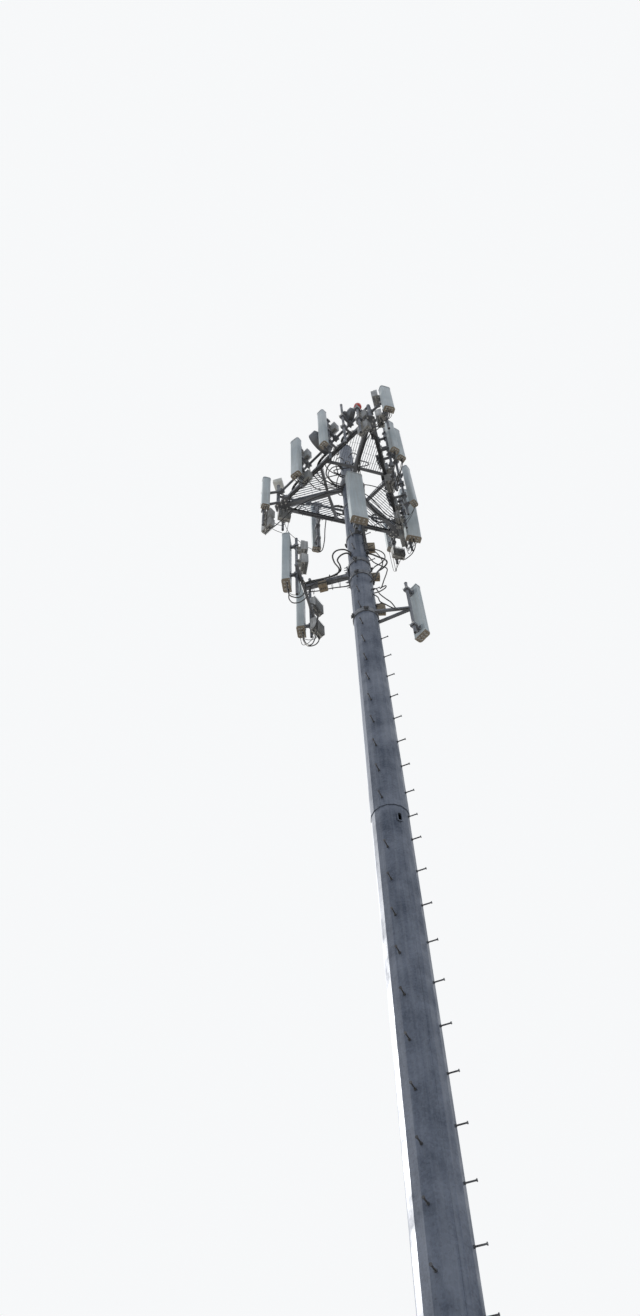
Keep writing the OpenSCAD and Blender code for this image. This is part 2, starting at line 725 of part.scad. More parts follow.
// Stand-offs from a side beam and from the rail out to an upright pipe. A pipe beyond the
// beam's end is reached by a slanting bar.
module standoffs(place) {
    pipe_at = [antenna_pipe_n + place[1], place[0]];
    held_at = max(-beam_half + plate_w / 2, min(beam_half - plate_w / 2, place[0]));
    translate([side_n, held_at - plate_w / 2, platform_z - beam_h / 2])
        cube([crossover_t, plate_w, beam_h]);
    difference() {
        union() {
            plan_bar([side_n + crossover_t / 2, held_at], pipe_at, bar_w, platform_z - bar_w / 2, bar_w);
            plan_bar([rail_n, held_at], pipe_at, bar_w, rail_z - bar_w / 2, bar_w);
            for (z = [platform_z, rail_z])
                translate([pipe_at[0], pipe_at[1], z]) cube([clamp_w, clamp_w, clamp_w], center = true);
            translate([rail_n, held_at, rail_z]) cube([clamp_w, clamp_w, clamp_w], center = true);
        }
        translate([pipe_at[0], pipe_at[1], platform_z - clamp_w])
            cylinder(d = antenna_pipe_d, h = rail_rise + 2 * clamp_w, $fn = pipe_fn);
        rail_bar();
    }
}

module face_brackets(angle, place, rise, h, turn, tilt = 0) {
    rotate([0, 0, angle])
        translate([antenna_pipe_n + place[1], place[0], platform_z + rise]) panel_brackets(h, turn, tilt);
}

module left_brackets() {
    color("gray") {
        for (k = [0 : 2])
            face_brackets(face_angles[0], left_places[k], left_rises[k], left_heights[k], left_turns[k]);
        rotate([0, 0, face_angles[0]])
            for (place = concat(left_places, [mast_place], left_radio_places)) standoffs(place);
    }
}

function right_tilt(k) = k == 4 ? panel_tilt : 0;
function right_depth(k) = k == 4 ? wide_panel_depth : panel_depth;

module right_brackets() {
    color("gray") {
        for (k = [0 : 4])
            face_brackets(face_angles[1], right_places[k], panel_rise, right_heights[k], right_turns[k],
                right_tilt(k));
        rotate([0, 0, face_angles[1]])
            for (place = concat(right_places, right_radio_places)) standoffs(place);
    }
}

module far_brackets() {
    color("gray") {
        for (k = [0 : 2]) face_brackets(face_angles[2], far_places[k], far_rises[k], far_heights[k], 0);
        rotate([0, 0, face_angles[2]])
            for (place = concat(far_places, far_radio_places)) standoffs(place);
    }
}

module left_panel(k) {
    color("gainsboro") face_panel(face_angles[0], left_places[k], left_rises[k], left_widths[k],
        left_heights[k], left_turns[k]);
}

module right_panel(k) {
    color("gainsboro") face_panel(face_angles[1], right_places[k], panel_rise, right_widths[k],
        right_heights[k], right_turns[k], right_depth(k), right_tilt(k));
}

module far_panel(k) {
    color("gainsboro")
        face_panel(face_angles[2], far_places[k], far_rises[k], narrow_panel_w, far_heights[k], 0);
}

// Radio behind an upright pipe at the origin: a core with upright fins, two straps that
// hold the pipe, and sockets underneath
module radio() {
    fin_t = 6;
    lip = 20;
    core = radio_d / 2;
    back = -antenna_pipe_d / 2 - 50;
    strap_w = 90;
    strap_h = 30;
    socket_d = 26;
    translate([back - core, -radio_w / 2, -radio_h / 2]) cube([core, radio_w, radio_h]);
    fin_pitch = (radio_w - fin_t) / (fin_count - 1);
    for (k = [0 : fin_count - 1])
        translate([back - radio_d, -radio_w / 2 + k * fin_pitch, -radio_h / 2 + lip])
            cube([radio_d - core + eps, fin_t, radio_h - 2 * lip]);
    difference() {
        for (side = [-1, 1])
            translate([back - eps, -strap_w / 2, side * radio_h / 5 - strap_h / 2])
                cube([-back + antenna_pipe_d / 6, strap_w, strap_h]);
        cylinder(d = antenna_pipe_d, h = radio_h, center = true, $fn = pipe_fn);
    }
    for (side = [-1, 1])
        translate([back - core * 0.6, side * radio_w / 4, -radio_h / 2 - socket_d])
            cylinder(d = socket_d, h = socket_d + eps, $fn = 16);
}

// Radio on a face's pipe, at a height above the platform's middle plane
module face_radio(angle, place, rise) {
    rotate([0, 0, angle])
        translate([antenna_pipe_n + place[1], place[0], platform_z + rise]) radio();
}

// Small radio with level louvres, on top of the first corner post
module louvred_radio() {
    w = 250;
    depth = 230;
    slat = 28;
    core = 70;
    count = 3;
    pitch = 62;
    translate([-core / 2, -core / 2, 0]) cube([core, core, pitch * count]);
    for (k = [0 : count - 1])
        translate([-depth / 2, -w / 2, k * pitch + pitch - slat]) cube([depth, w, slat]);
}

module left_radios() {
    color("darkgray") {
        for (rise = [corner_radio - radio_h - 60, corner_radio])
            face_radio(face_angles[0], left_places[0], rise);
        for (rise = [low_radio, high_radio]) face_radio(face_angles[0], left_places[1], rise);
        face_radio(face_angles[0], left_places[2], high_radio);
        for (rise = [low_radio, middle_radio]) face_radio(face_angles[0], left_radio_places[0], rise);
        rotate([0, 0, corner_angles[0]]) translate([post_r, 0, rail_z + louvre_rise]) louvred_radio();
    }
}

module right_radios() {
    color("darkgray") {
        for (rise = [low_radio, high_radio]) face_radio(face_angles[1], right_places[0], rise);
        for (place = right_radio_places)
            for (rise = [low_radio, middle_radio]) face_radio(face_angles[1], place, rise);
        face_radio(face_angles[1], right_places[3], high_radio);
        face_radio(face_angles[1], right_places[4], low_radio);
    }
}

module far_radios() {
    color("darkgray") {
        for (rise = [lowest_radio, middle_radio]) face_radio(face_angles[2], far_places[0], rise);
        face_radio(face_angles[2], far_places[1], middle_radio);
        face_radio(face_angles[2], far_radio_places[0], low_radio);
    }
}

// Dish antenna with a shroud, its axis along +X and its mounting hub at the back
module dish(d, depth) {
    rotate([0, 90, 0]) {
        cylinder(d1 = d / 2, d2 = d, h = depth / 3, $fn = base_fn);
        translate([0, 0, depth / 3]) cylinder(d = d, h = 2 * depth / 3, $fn = base_fn);
        translate([0, 0, -hub_h]) cylinder(d = hub_d, h = hub_h + eps, $fn = pipe_fn);
    }
}

hub_h = 80;
hub_d = 130;
left_dish_rise = 410;
small_dish_rise = 900;

module left_dish() {
    color("silver") rotate([0, 0, face_angles[0]])
        translate([antenna_pipe_n + left_places[2][1], left_places[2][0], platform_z + left_dish_rise])
            rotate([0, 0, -90]) translate([antenna_pipe_d / 2 + hub_h - 2, 0, 0]) dish(dish_d, dish_depth);
}

module small_dish() {
    color("silver") rotate([0, 0, face_angles[0]])
        translate([antenna_pipe_n + mast_place[1], mast_place[0], platform_z + small_dish_rise])
            rotate([0, 0, 150]) translate([antenna_pipe_d / 2 + hub_h - 2, 0, 0])
                dish(small_dish_d, small_dish_d / 2);
}

// Lamp on an outrigger from the left rail, with a round base and a domed lens
module obstruction_light() {
    post_h = 480;
    lamp_post_d = 34;
    slot = 1270;
    base_h = 50;
    lens_d = light_d - 16;
    rotate([0, 0, face_angles[0]]) translate([rail_n, slot, rail_z + rail_d / 2 - 2]) {
        color("silver") cylinder(d = lamp_post_d, h = post_h, $fn = pipe_fn);
        color("silver") translate([0, 0, post_h - eps]) cylinder(d = light_d, h = base_h, $fn = pipe_fn);
        color("firebrick") translate([0, 0, post_h + base_h - 2 * eps]) {
            cylinder(d = lens_d, h = light_h - lens_d / 2, $fn = pipe_fn);
            translate([0, 0, light_h - lens_d / 2]) sphere(d = lens_d, $fn = pipe_fn);
        }
    }
}

// Round band on the shaft
module band(z, h, t) {
    difference() {
        translate([0, 0, z - h / 2])
            cylinder(r = corner_radius(shaft_w(z - h / 2)) + t, h = h, $fn = base_fn);
        shaft_outside(z - h / 2 - eps, z + h / 2 + eps);
    }
}

// Two bands hold the tall plate that the lower left arm is welded to
left_band_h = 120;
left_band_up = 230;
left_band_down = 320;

module lower_left_collar() {
    color("slategray") {
        band(left_arm_z + left_band_up, left_band_h, band_t);
        band(left_arm_z - left_band_down, left_band_h, band_t);
    }
}

lower_collar_r = corner_radius(shaft_w(left_arm_z - left_band_down - left_band_h / 2)) + band_t;

module lower_left_arm() {
    plate_low = left_arm_z - left_band_down - left_band_h / 2;
    plate_h = left_band_up + left_band_down + left_band_h;
    plate_t = 14;
    weld = 2;
    from = -left_arm_reach + cross_pipe_d / 2 - weld;
    to = -lower_collar_r - plate_t + weld;
    color("slategray") {
        translate([from, -arm_w / 2, left_arm_z - arm_w / 2]) cube([to - from, arm_w, arm_w]);
        translate([-lower_collar_r - plate_t, -plate_w / 2, plate_low])
            cube([plate_t + 2 * weld, plate_w, plate_h]);
        translate([-left_arm_reach, cross_pipe_shift, left_arm_z]) rotate([90, 0, 0])
            cylinder(d = cross_pipe_d, h = cross_pipe_length, center = true, $fn = pipe_fn);
    }
}

cross_pipe_shift = 270;
lower_left_pipe_x = -left_arm_reach - cross_pipe_d / 2 - crossover_t - antenna_pipe_d / 2;
lower_left_slots = [-260, 800];
lower_left_turn = 188;
lower_left_rises = [780, 620];
lower_left_insets = [400, bracket_inset];
lower_left_widths = [wide_panel_w - 40, wide_panel_w - 70];

module lower_left_pipes() {
    pipe_rise = 560;
    color("silver") for (slot = lower_left_slots)
        translate([lower_left_pipe_x, slot, left_arm_z + pipe_rise])
            cylinder(d = antenna_pipe_d, h = antenna_pipe_length, center = true, $fn = pipe_fn);
}

module lower_left_brackets() {
    color("gray") for (k = [0, 1]) {
        translate([lower_left_pipe_x, lower_left_slots[k], left_arm_z + lower_left_rises[k]])
            panel_brackets(long_panel_h, lower_left_turn, 0, lower_left_insets[k]);
        translate([-left_arm_reach - cross_pipe_d / 2 - crossover_t,
                lower_left_slots[k] - plate_w / 2, left_arm_z - plate_w / 2])
            cube([crossover_t, plate_w, plate_w]);
    }
}

module lower_left_panel(k) {
    color("gainsboro") translate([lower_left_pipe_x, lower_left_slots[k], left_arm_z + lower_left_rises[k]])
        panel(lower_left_widths[k], long_panel_h, lower_left_turn, wide_panel_depth);
}

module lower_left_radios() {
    color("darkgray") {
        for (rise = [660, 1240])
            translate([lower_left_pipe_x, lower_left_slots[0], left_arm_z + rise]) radio_turned(205);
        for (rise = [-420, 420])
            translate([lower_left_pipe_x, lower_left_slots[1], left_arm_z + rise]) radio_turned(160);
    }
}

module radio_turned(turn) {
    rotate([0, 0, turn]) radio();
}

// Arm with two bars that meet at the upright pipe
module lower_right_arm() {
    band_h = 120;
    root = corner_radius(shaft_w(right_arm_z - band_h / 2)) + band_t;
    spread = 130;
    meet = 15;
    run_in = 60;
    pipe_length = 1800;
    color("slategray") {
        band(right_arm_z, band_h, band_t);
        difference() {
            for (side = [-1, 1])
                plan_bar([root - run_in, side * spread], [right_arm_reach, side * meet], bar_w,
                    right_arm_z - bar_w / 2, bar_w);
            translate([right_arm_reach, 0, right_arm_z - bar_w])
                cylinder(d = antenna_pipe_d, h = 2 * bar_w, $fn = pipe_fn);
            translate([0, 0, right_arm_z - bar_w])
                cylinder(r = root - band_t, h = 2 * bar_w, $fn = base_fn);
        }
        translate([right_arm_reach, 0, lower_right_mid_z])
            cylinder(d = antenna_pipe_d, h = pipe_length, center = true, $fn = pipe_fn);
    }
}

lower_right_turn = 55;
lower_right_w = 280;
lower_right_mid_z = right_arm_z + 60;

module lower_right_brackets() {
    color("gray") translate([right_arm_reach, 0, lower_right_mid_z])
        panel_brackets(middle_panel_h, lower_right_turn);
}

module lower_right_panel() {
    color("gainsboro") translate([right_arm_reach, 0, lower_right_mid_z])
        panel(lower_right_w, middle_panel_h, lower_right_turn);
}

// Pipe beside the shaft that carries the front panel, with the panel turned about it
front_pipe_turn = -77;
front_panel_turn = 18;

module front_standoff() {
    band_h = 80;
    held = wide_panel_h / 2 - 350;
    color("slategray") {
        for (side = [-1, 1]) {
            z = front_panel_z + side * held;
            root = corner_radius(shaft_w(z - band_h / 2)) + band_t;
            band(z, band_h, band_t);
            rotate([0, 0, front_pipe_turn])
                difference() {
                    translate([root - 8, -arm_bar_w / 2, z - arm_bar_w / 2])
                        cube([front_pipe_r - root + 8, arm_bar_w, arm_bar_w]);
                    translate([front_pipe_r, 0, z - arm_bar_w])
                        cylinder(d = antenna_pipe_d, h = 2 * arm_bar_w, $fn = pipe_fn);
                }
        }
        rotate([0, 0, front_pipe_turn]) translate([front_pipe_r, 0, front_panel_z]) {
            cylinder(d = antenna_pipe_d, h = wide_panel_h - 100, center = true, $fn = pipe_fn);
            panel_brackets(wide_panel_h, front_panel_turn);
        }
    }
}

module front_panel() {
    color("gainsboro") rotate([0, 0, front_pipe_turn]) translate([front_pipe_r, 0, front_panel_z])
        panel(wide_panel_w, wide_panel_h, front_panel_turn, wide_panel_depth);
}

// Boxes on one of the shaft's flats and one under the lower left arm
module junction_boxes() {
    box_w = 120;
    box_d = 170;
    tall = 260;
    short = 160;
    turn = shaft_turn + 22.5;
    drops = [[3120, tall], [4390, short], [5670, tall]];
    under_arm_x = -880;
    color("tan") {
        for (box = drops)
            rotate([0, 0, turn])
                translate([shaft_w(platform_z - box[0]) / 2, -box_w / 2, platform_z - box[0] - box[1] / 2])
                    cube([box_d, box_w, box[1]]);
        translate([under_arm_x, -box_d / 2, left_arm_z - arm_w / 2 - box_d]) cube(box_d);
    }
}

// Points of a smooth line through the given points, steps to each span
function curve_point(a, b, c, d, t) =
    0.5 * ((2 * b) + (c - a) * t + (2 * a - 5 * b + 4 * c - d) * t * t + (3 * b - a - 3 * c + d) * t * t * t);
function smooth(p, steps) = let (last = len(p) - 1)
    [for (k = [0 : last - 1]) for (s = [0 : steps - 1])
        curve_point(p[max(k - 1, 0)], p[k], p[k + 1], p[min(k + 2, last)], s / steps), p[last]];
function unit(v) = v / norm(v);

// Cable along one of the routes, swept as a tube
module cable(route) {
    sides = 8;
    d = route[0];
    side = route[1];
    line = [for (p = smooth(route[2], 4)) p + [0, 0, platform_z]];
    last = len(line) - 1;
    rings = [for (k = [0 : last])
        let (ahead = unit(line[min(k + 1, last)] - line[max(k - 1, 0)]),
            u = unit(cross(side, ahead)), v = cross(ahead, u))
        for (j = [0 : sides - 1])
            line[k] + d / 2 * (u * cos(360 * j / sides) + v * sin(360 * j / sides))];
    walls = [for (k = [0 : last - 1]) for (j = [0 : sides - 1])
        let (a = k * sides + j, b = k * sides + (j + 1) % sides)
        [a, a + sides, b + sides, b]];
    ends = [[for (j = [0 : sides - 1]) j], [for (j = [sides - 1 : -1 : 0]) last * sides + j]];
    polyhedron(points = rings, faces = concat(walls, ends));
}

module left_cables() {
    color("black") for (route = left_routes) cable(route);
}

module right_cables() {
    color("black") for (route = right_routes) cable(route);
}

module platform_cables() {
    color("black") for (route = platform_routes) cable(route);
}

base_plate();
lower_shaft();
upper_shaft();
shaft_cap();
hand_hole_rim();
port_rim();
front_step_bolts();
side_step_bolts();
platform_collar();
platform_arms();
corner_plates();
side_beams();
inner_braces();
left_gratings();
right_gratings();
far_gratings();
left_face_pipe();
right_face_pipe();
far_face_pipe();
corner_posts();
left_antenna_pipes();
right_antenna_pipes();
far_antenna_pipes();
left_brackets();
right_brackets();
far_brackets();
left_panel(0);  // left_panel_1
left_panel(1);  // left_panel_2
left_panel(2);  // left_panel_3
right_panel(0);  // right_panel_1
right_panel(1);  // right_panel_2
right_panel(2);  // right_panel_3
right_panel(3);  // right_panel_4
right_panel(4);  // right_panel_5
far_panel(0);  // far_panel_1
far_panel(1);  // far_panel_2
far_panel(2);  // far_panel_3
left_radios();
right_radios();
far_radios();
left_dish();
small_dish();
obstruction_light();
lower_left_collar();
lower_left_arm();
lower_left_pipes();
lower_left_brackets();
lower_left_panel(0);  // lower_left_panel_1
lower_left_panel(1);  // lower_left_panel_2
lower_left_radios();
lower_right_arm();
lower_right_brackets();
lower_right_panel();
front_standoff();
front_panel();
junction_boxes();
left_cables();
right_cables();
platform_cables();
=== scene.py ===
import json
import math

import bpy
from mathutils import Matrix, Vector


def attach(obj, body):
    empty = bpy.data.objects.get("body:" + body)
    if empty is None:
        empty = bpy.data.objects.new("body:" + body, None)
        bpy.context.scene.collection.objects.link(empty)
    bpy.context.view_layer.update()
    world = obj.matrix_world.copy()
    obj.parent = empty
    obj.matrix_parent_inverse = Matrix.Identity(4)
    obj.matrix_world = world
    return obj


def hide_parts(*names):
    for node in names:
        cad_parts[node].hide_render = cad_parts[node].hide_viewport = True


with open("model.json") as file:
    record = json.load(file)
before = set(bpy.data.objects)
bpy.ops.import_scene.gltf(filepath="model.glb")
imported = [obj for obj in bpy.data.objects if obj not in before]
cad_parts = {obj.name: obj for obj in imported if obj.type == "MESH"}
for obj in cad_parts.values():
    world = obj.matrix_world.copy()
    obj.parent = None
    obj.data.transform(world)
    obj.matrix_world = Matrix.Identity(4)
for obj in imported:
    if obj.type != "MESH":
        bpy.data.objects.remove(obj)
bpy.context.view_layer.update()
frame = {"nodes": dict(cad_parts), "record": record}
nodes = frame["nodes"]
print("frame loaded:", len(nodes), "nodes")

# camera: stands on the ground 10 m from the shaft and looks up at the platform
cameraView = {
    "place": (1.444, -9.895, 1.6),
    "right": (0.9623, 0.2705, -0.0259),
    "up": (0.2383, -0.7946, 0.5584),
    "back": (0.1304, -0.5436, -0.8292),
    "lens": 27.14,  # mm, on a long side of 36 mm
    "near": 0.1,
    "far": 500.0,
}


def makeCamera(view):
    data = bpy.data.cameras.new("camera")
    data.sensor_fit = "AUTO"
    data.sensor_width = 36.0
    data.lens = view["lens"]
    data.clip_start = view["near"]
    data.clip_end = view["far"]
    camera = bpy.data.objects.new("camera", data)
    bpy.context.scene.collection.objects.link(camera)
    turn = Matrix((view["right"], view["up"], view["back"])).transposed()
    camera.matrix_world = Matrix.Translation(view["place"]) @ turn.to_4x4()
    bpy.context.scene.camera = camera


makeCamera(cameraView)
print("camera ready")

# light: a pale even sky with a soft sun behind and to the left of the tower
lighting = {
    "sky": (0.75, 0.85, 1.0),
    "skyStrength": 0.56,
    "sunFrom": (-0.80, 0.42, 0.55),
    "sunColour": (1.0, 0.97, 0.92),
    "sunStrength": 3.8,
    "sunAngle": 3.0,  # degrees
    "backdrop": (0.93, 0.94, 0.95),
    "floor": (0.75, 0.75, 0.74),
    "floorShade": (0.42, 0.39, 0.34),  # what the floor throws back onto the tower
    "floorRough": 0.9,
    "floorRadius": 240.0,
    "floorCorners": 120,
}


def polar(reach, turn, height=0.0):
    angle = math.radians(turn)
    return Vector((reach * math.cos(angle), reach * math.sin(angle), height))


def addNode(tree, kind, settings=None, inputs=None):
    node = tree.nodes.new(kind)
    for key, value in (settings or {}).items():
        setattr(node, key, value)
    for key, value in (inputs or {}).items():
        node.inputs[key].default_value = value
    return node


def seenDirectly(tree):
    path = addNode(tree, "ShaderNodeLightPath")
    seen = path.outputs["Is Camera Ray"]
    for ray in ("Is Glossy Ray", "Is Transmission Ray"):
        larger = addNode(tree, "ShaderNodeMath", {"operation": "MAXIMUM"})
        tree.links.new(seen, larger.inputs[0])
        tree.links.new(path.outputs[ray], larger.inputs[1])
        seen = larger.outputs[0]
    return seen


def makeWorld(look):
    world = bpy.data.worlds.new("studio")
    bpy.context.scene.world = world
    world.use_nodes = True
    tree = world.node_tree
    tree.nodes.clear()
    out = addNode(tree, "ShaderNodeOutputWorld")
    mix = addNode(tree, "ShaderNodeMixShader")
    sky = {"Color": (*look["sky"], 1.0), "Strength": look["skyStrength"]}
    glow = addNode(tree, "ShaderNodeBackground", None, sky)
    pale = addNode(tree, "ShaderNodeBackground", None, {"Color": (*look["backdrop"], 1.0)})
    tree.links.new(seenDirectly(tree), mix.inputs["Fac"])
    tree.links.new(glow.outputs[0], mix.inputs[1])
    tree.links.new(pale.outputs[0], mix.inputs[2])
    tree.links.new(mix.outputs[0], out.inputs["Surface"])


def makeSun(look):
    data = bpy.data.lights.new("sun", "SUN")
    data.energy = look["sunStrength"]
    data.angle = math.radians(look["sunAngle"])
    data.color = look["sunColour"]
    sun = bpy.data.objects.new("sun", data)
    sun.rotation_mode = "QUATERNION"
    sun.rotation_quaternion = Vector(look["sunFrom"]).to_track_quat("Z", "Y")
    bpy.context.scene.collection.objects.link(sun)


def makeFloor(look):
    mesh = bpy.data.meshes.new("floor")
    count = look["floorCorners"]
    edge = [polar(look["floorRadius"], 360 / count * k) for k in range(count)]
    mesh.from_pydata(edge, [], [tuple(range(count))])
    floor = bpy.data.objects.new("floor", mesh)
    bpy.context.scene.collection.objects.link(floor)
    material = bpy.data.materials.new("paleFloor")
    material.use_nodes = True
    tree = material.node_tree
    paint = tree.nodes["Principled BSDF"]
    paint.inputs["Roughness"].default_value = look["floorRough"]
    mix = addNode(tree, "ShaderNodeMix", {"data_type": "RGBA"})
    mix.inputs["A"].default_value = (*look["floorShade"], 1.0)
    mix.inputs["B"].default_value = (*look["floor"], 1.0)
    tree.links.new(seenDirectly(tree), mix.inputs["Factor"])
    tree.links.new(mix.outputs["Result"], paint.inputs["Base Color"])
    mesh.materials.append(material)


makeWorld(lighting)
makeSun(lighting)
makeFloor(lighting)
bpy.context.scene.view_settings.view_transform = "Standard"
print("light and floor ready")


# shared effects, each built once as a shader group
def newGroup(name, wanted, given):
    group = bpy.data.node_groups.new(name, "ShaderNodeTree")
    for way, labels in (("INPUT", wanted), ("OUTPUT", given)):
        for label in labels:
            kind = "NodeSocketVector" if label == "Place" else "NodeSocketFloat"
            group.interface.new_socket(label, in_out=way, socket_type=kind)
    return group, group.nodes.new("NodeGroupInput"), group.nodes.new("NodeGroupOutput")


def stretchValue(tree, value, low, high, toLow=0.0, toHigh=1.0):
    span = {"From Min": low, "From Max": high, "To Min": toLow, "To Max": toHigh}
    stretch = addNode(tree, "ShaderNodeMapRange", None, span)
    tree.links.new(value, stretch.inputs["Value"])
    return stretch.outputs["Result"]


def timesValue(tree, first, second):
    times = addNode(tree, "ShaderNodeMath", {"operation": "MULTIPLY"})
    tree.links.new(first, times.inputs[0])
    if isinstance(second, float):
        times.inputs[1].default_value = second
    else:
        tree.links.new(second, times.inputs[1])
    return times.outputs[0]


weatherForm = {  # for each layer: its noise, and the part of the noise that shows
    "Clouds": ({"Detail": 5.0, "Roughness": 0.6}, (0.34, 0.66)),
    "Streaks": ({"Detail": 4.0, "Roughness": 0.55, "Distortion": 0.4}, (0.42, 0.64)),
    "Specks": ({"Scale": 38.0, "Detail": 3.0, "Roughness": 0.7}, (0.60, 0.72)),
    "Grain": ({"Scale": 240.0, "Detail": 2.0}, None),
}
streakStretch = (1.0, 1.0, 0.045)  # water runs down, so the marks are long
# faces that point down get the under colour, painted shade together with grime; faces that point up get dust
facingForm = {"UnderShadeAndGrime": (-0.35, -0.85), "Top": (0.35, 0.95)}


def makeWeatherGroup(layers):
    group, given, out = newGroup("weather", ("Place", "Cloud Scale", "Streak Scale"), layers)
    link = group.links.new
    tall = addNode(group, "ShaderNodeVectorMath", {"operation": "MULTIPLY"})
    tall.inputs[1].default_value = streakStretch
    link(given.outputs["Place"], tall.inputs[0])
    scales = {"Clouds": given.outputs["Cloud Scale"], "Streaks": given.outputs["Streak Scale"]}
    for label, (settings, span) in layers.items():
        noise = addNode(group, "ShaderNodeTexNoise", None, settings)
        place = tall.outputs[0] if label == "Streaks" else given.outputs["Place"]
        link(place, noise.inputs["Vector"])
        if label in scales:
            link(scales[label], noise.inputs["Scale"])
        value = noise.outputs["Fac"]
        link(stretchValue(group, value, *span) if span else value, out.inputs[label])
    return group


def makeSpangleGroup():
    group, given, out = newGroup("spangle", ("Place", "Scale"), ("Cells",))
    cells = addNode(group, "ShaderNodeTexVoronoi", {"feature": "F1"}, {"Randomness": 1.0})
    split = addNode(group, "ShaderNodeSeparateColor")
    group.links.new(given.outputs["Place"], cells.inputs["Vector"])
    group.links.new(given.outputs["Scale"], cells.inputs["Scale"])
    group.links.new(cells.outputs["Color"], split.inputs[0])
    group.links.new(split.outputs[0], out.inputs["Cells"])
    return group


def makeFacingGroup(spans):
    group, _, out = newGroup("facing", (), spans)
    side = addNode(group, "ShaderNodeNewGeometry")
    split = addNode(group, "ShaderNodeSeparateXYZ")
    group.links.new(side.outputs["Normal"], split.inputs[0])
    for label, span in spans.items():
        group.links.new(stretchValue(group, split.outputs["Z"], *span), out.inputs[label])
    return group


weatherGroup = makeWeatherGroup(weatherForm)
spangleGroup = makeSpangleGroup()
facingGroup = makeFacingGroup(facingForm)


def useGroup(tree, group, inputs):
    node = tree.nodes.new("ShaderNodeGroup")
    node.node_tree = group
    for key, value in inputs.items():
        if isinstance(value, float):
            node.inputs[key].default_value = value
        else:
            tree.links.new(value, node.inputs[key])
    return node


def blendColours(tree, first, second, share):
    mix = addNode(tree, "ShaderNodeMix", {"data_type": "RGBA"})
    for key, value in (("A", first), ("B", second)):
        if isinstance(value, tuple):
            mix.inputs[key].default_value = (*value, 1.0)
        else:
            tree.links.new(value, mix.inputs[key])
    tree.links.new(share, mix.inputs["Factor"])
    return mix.outputs["Result"]
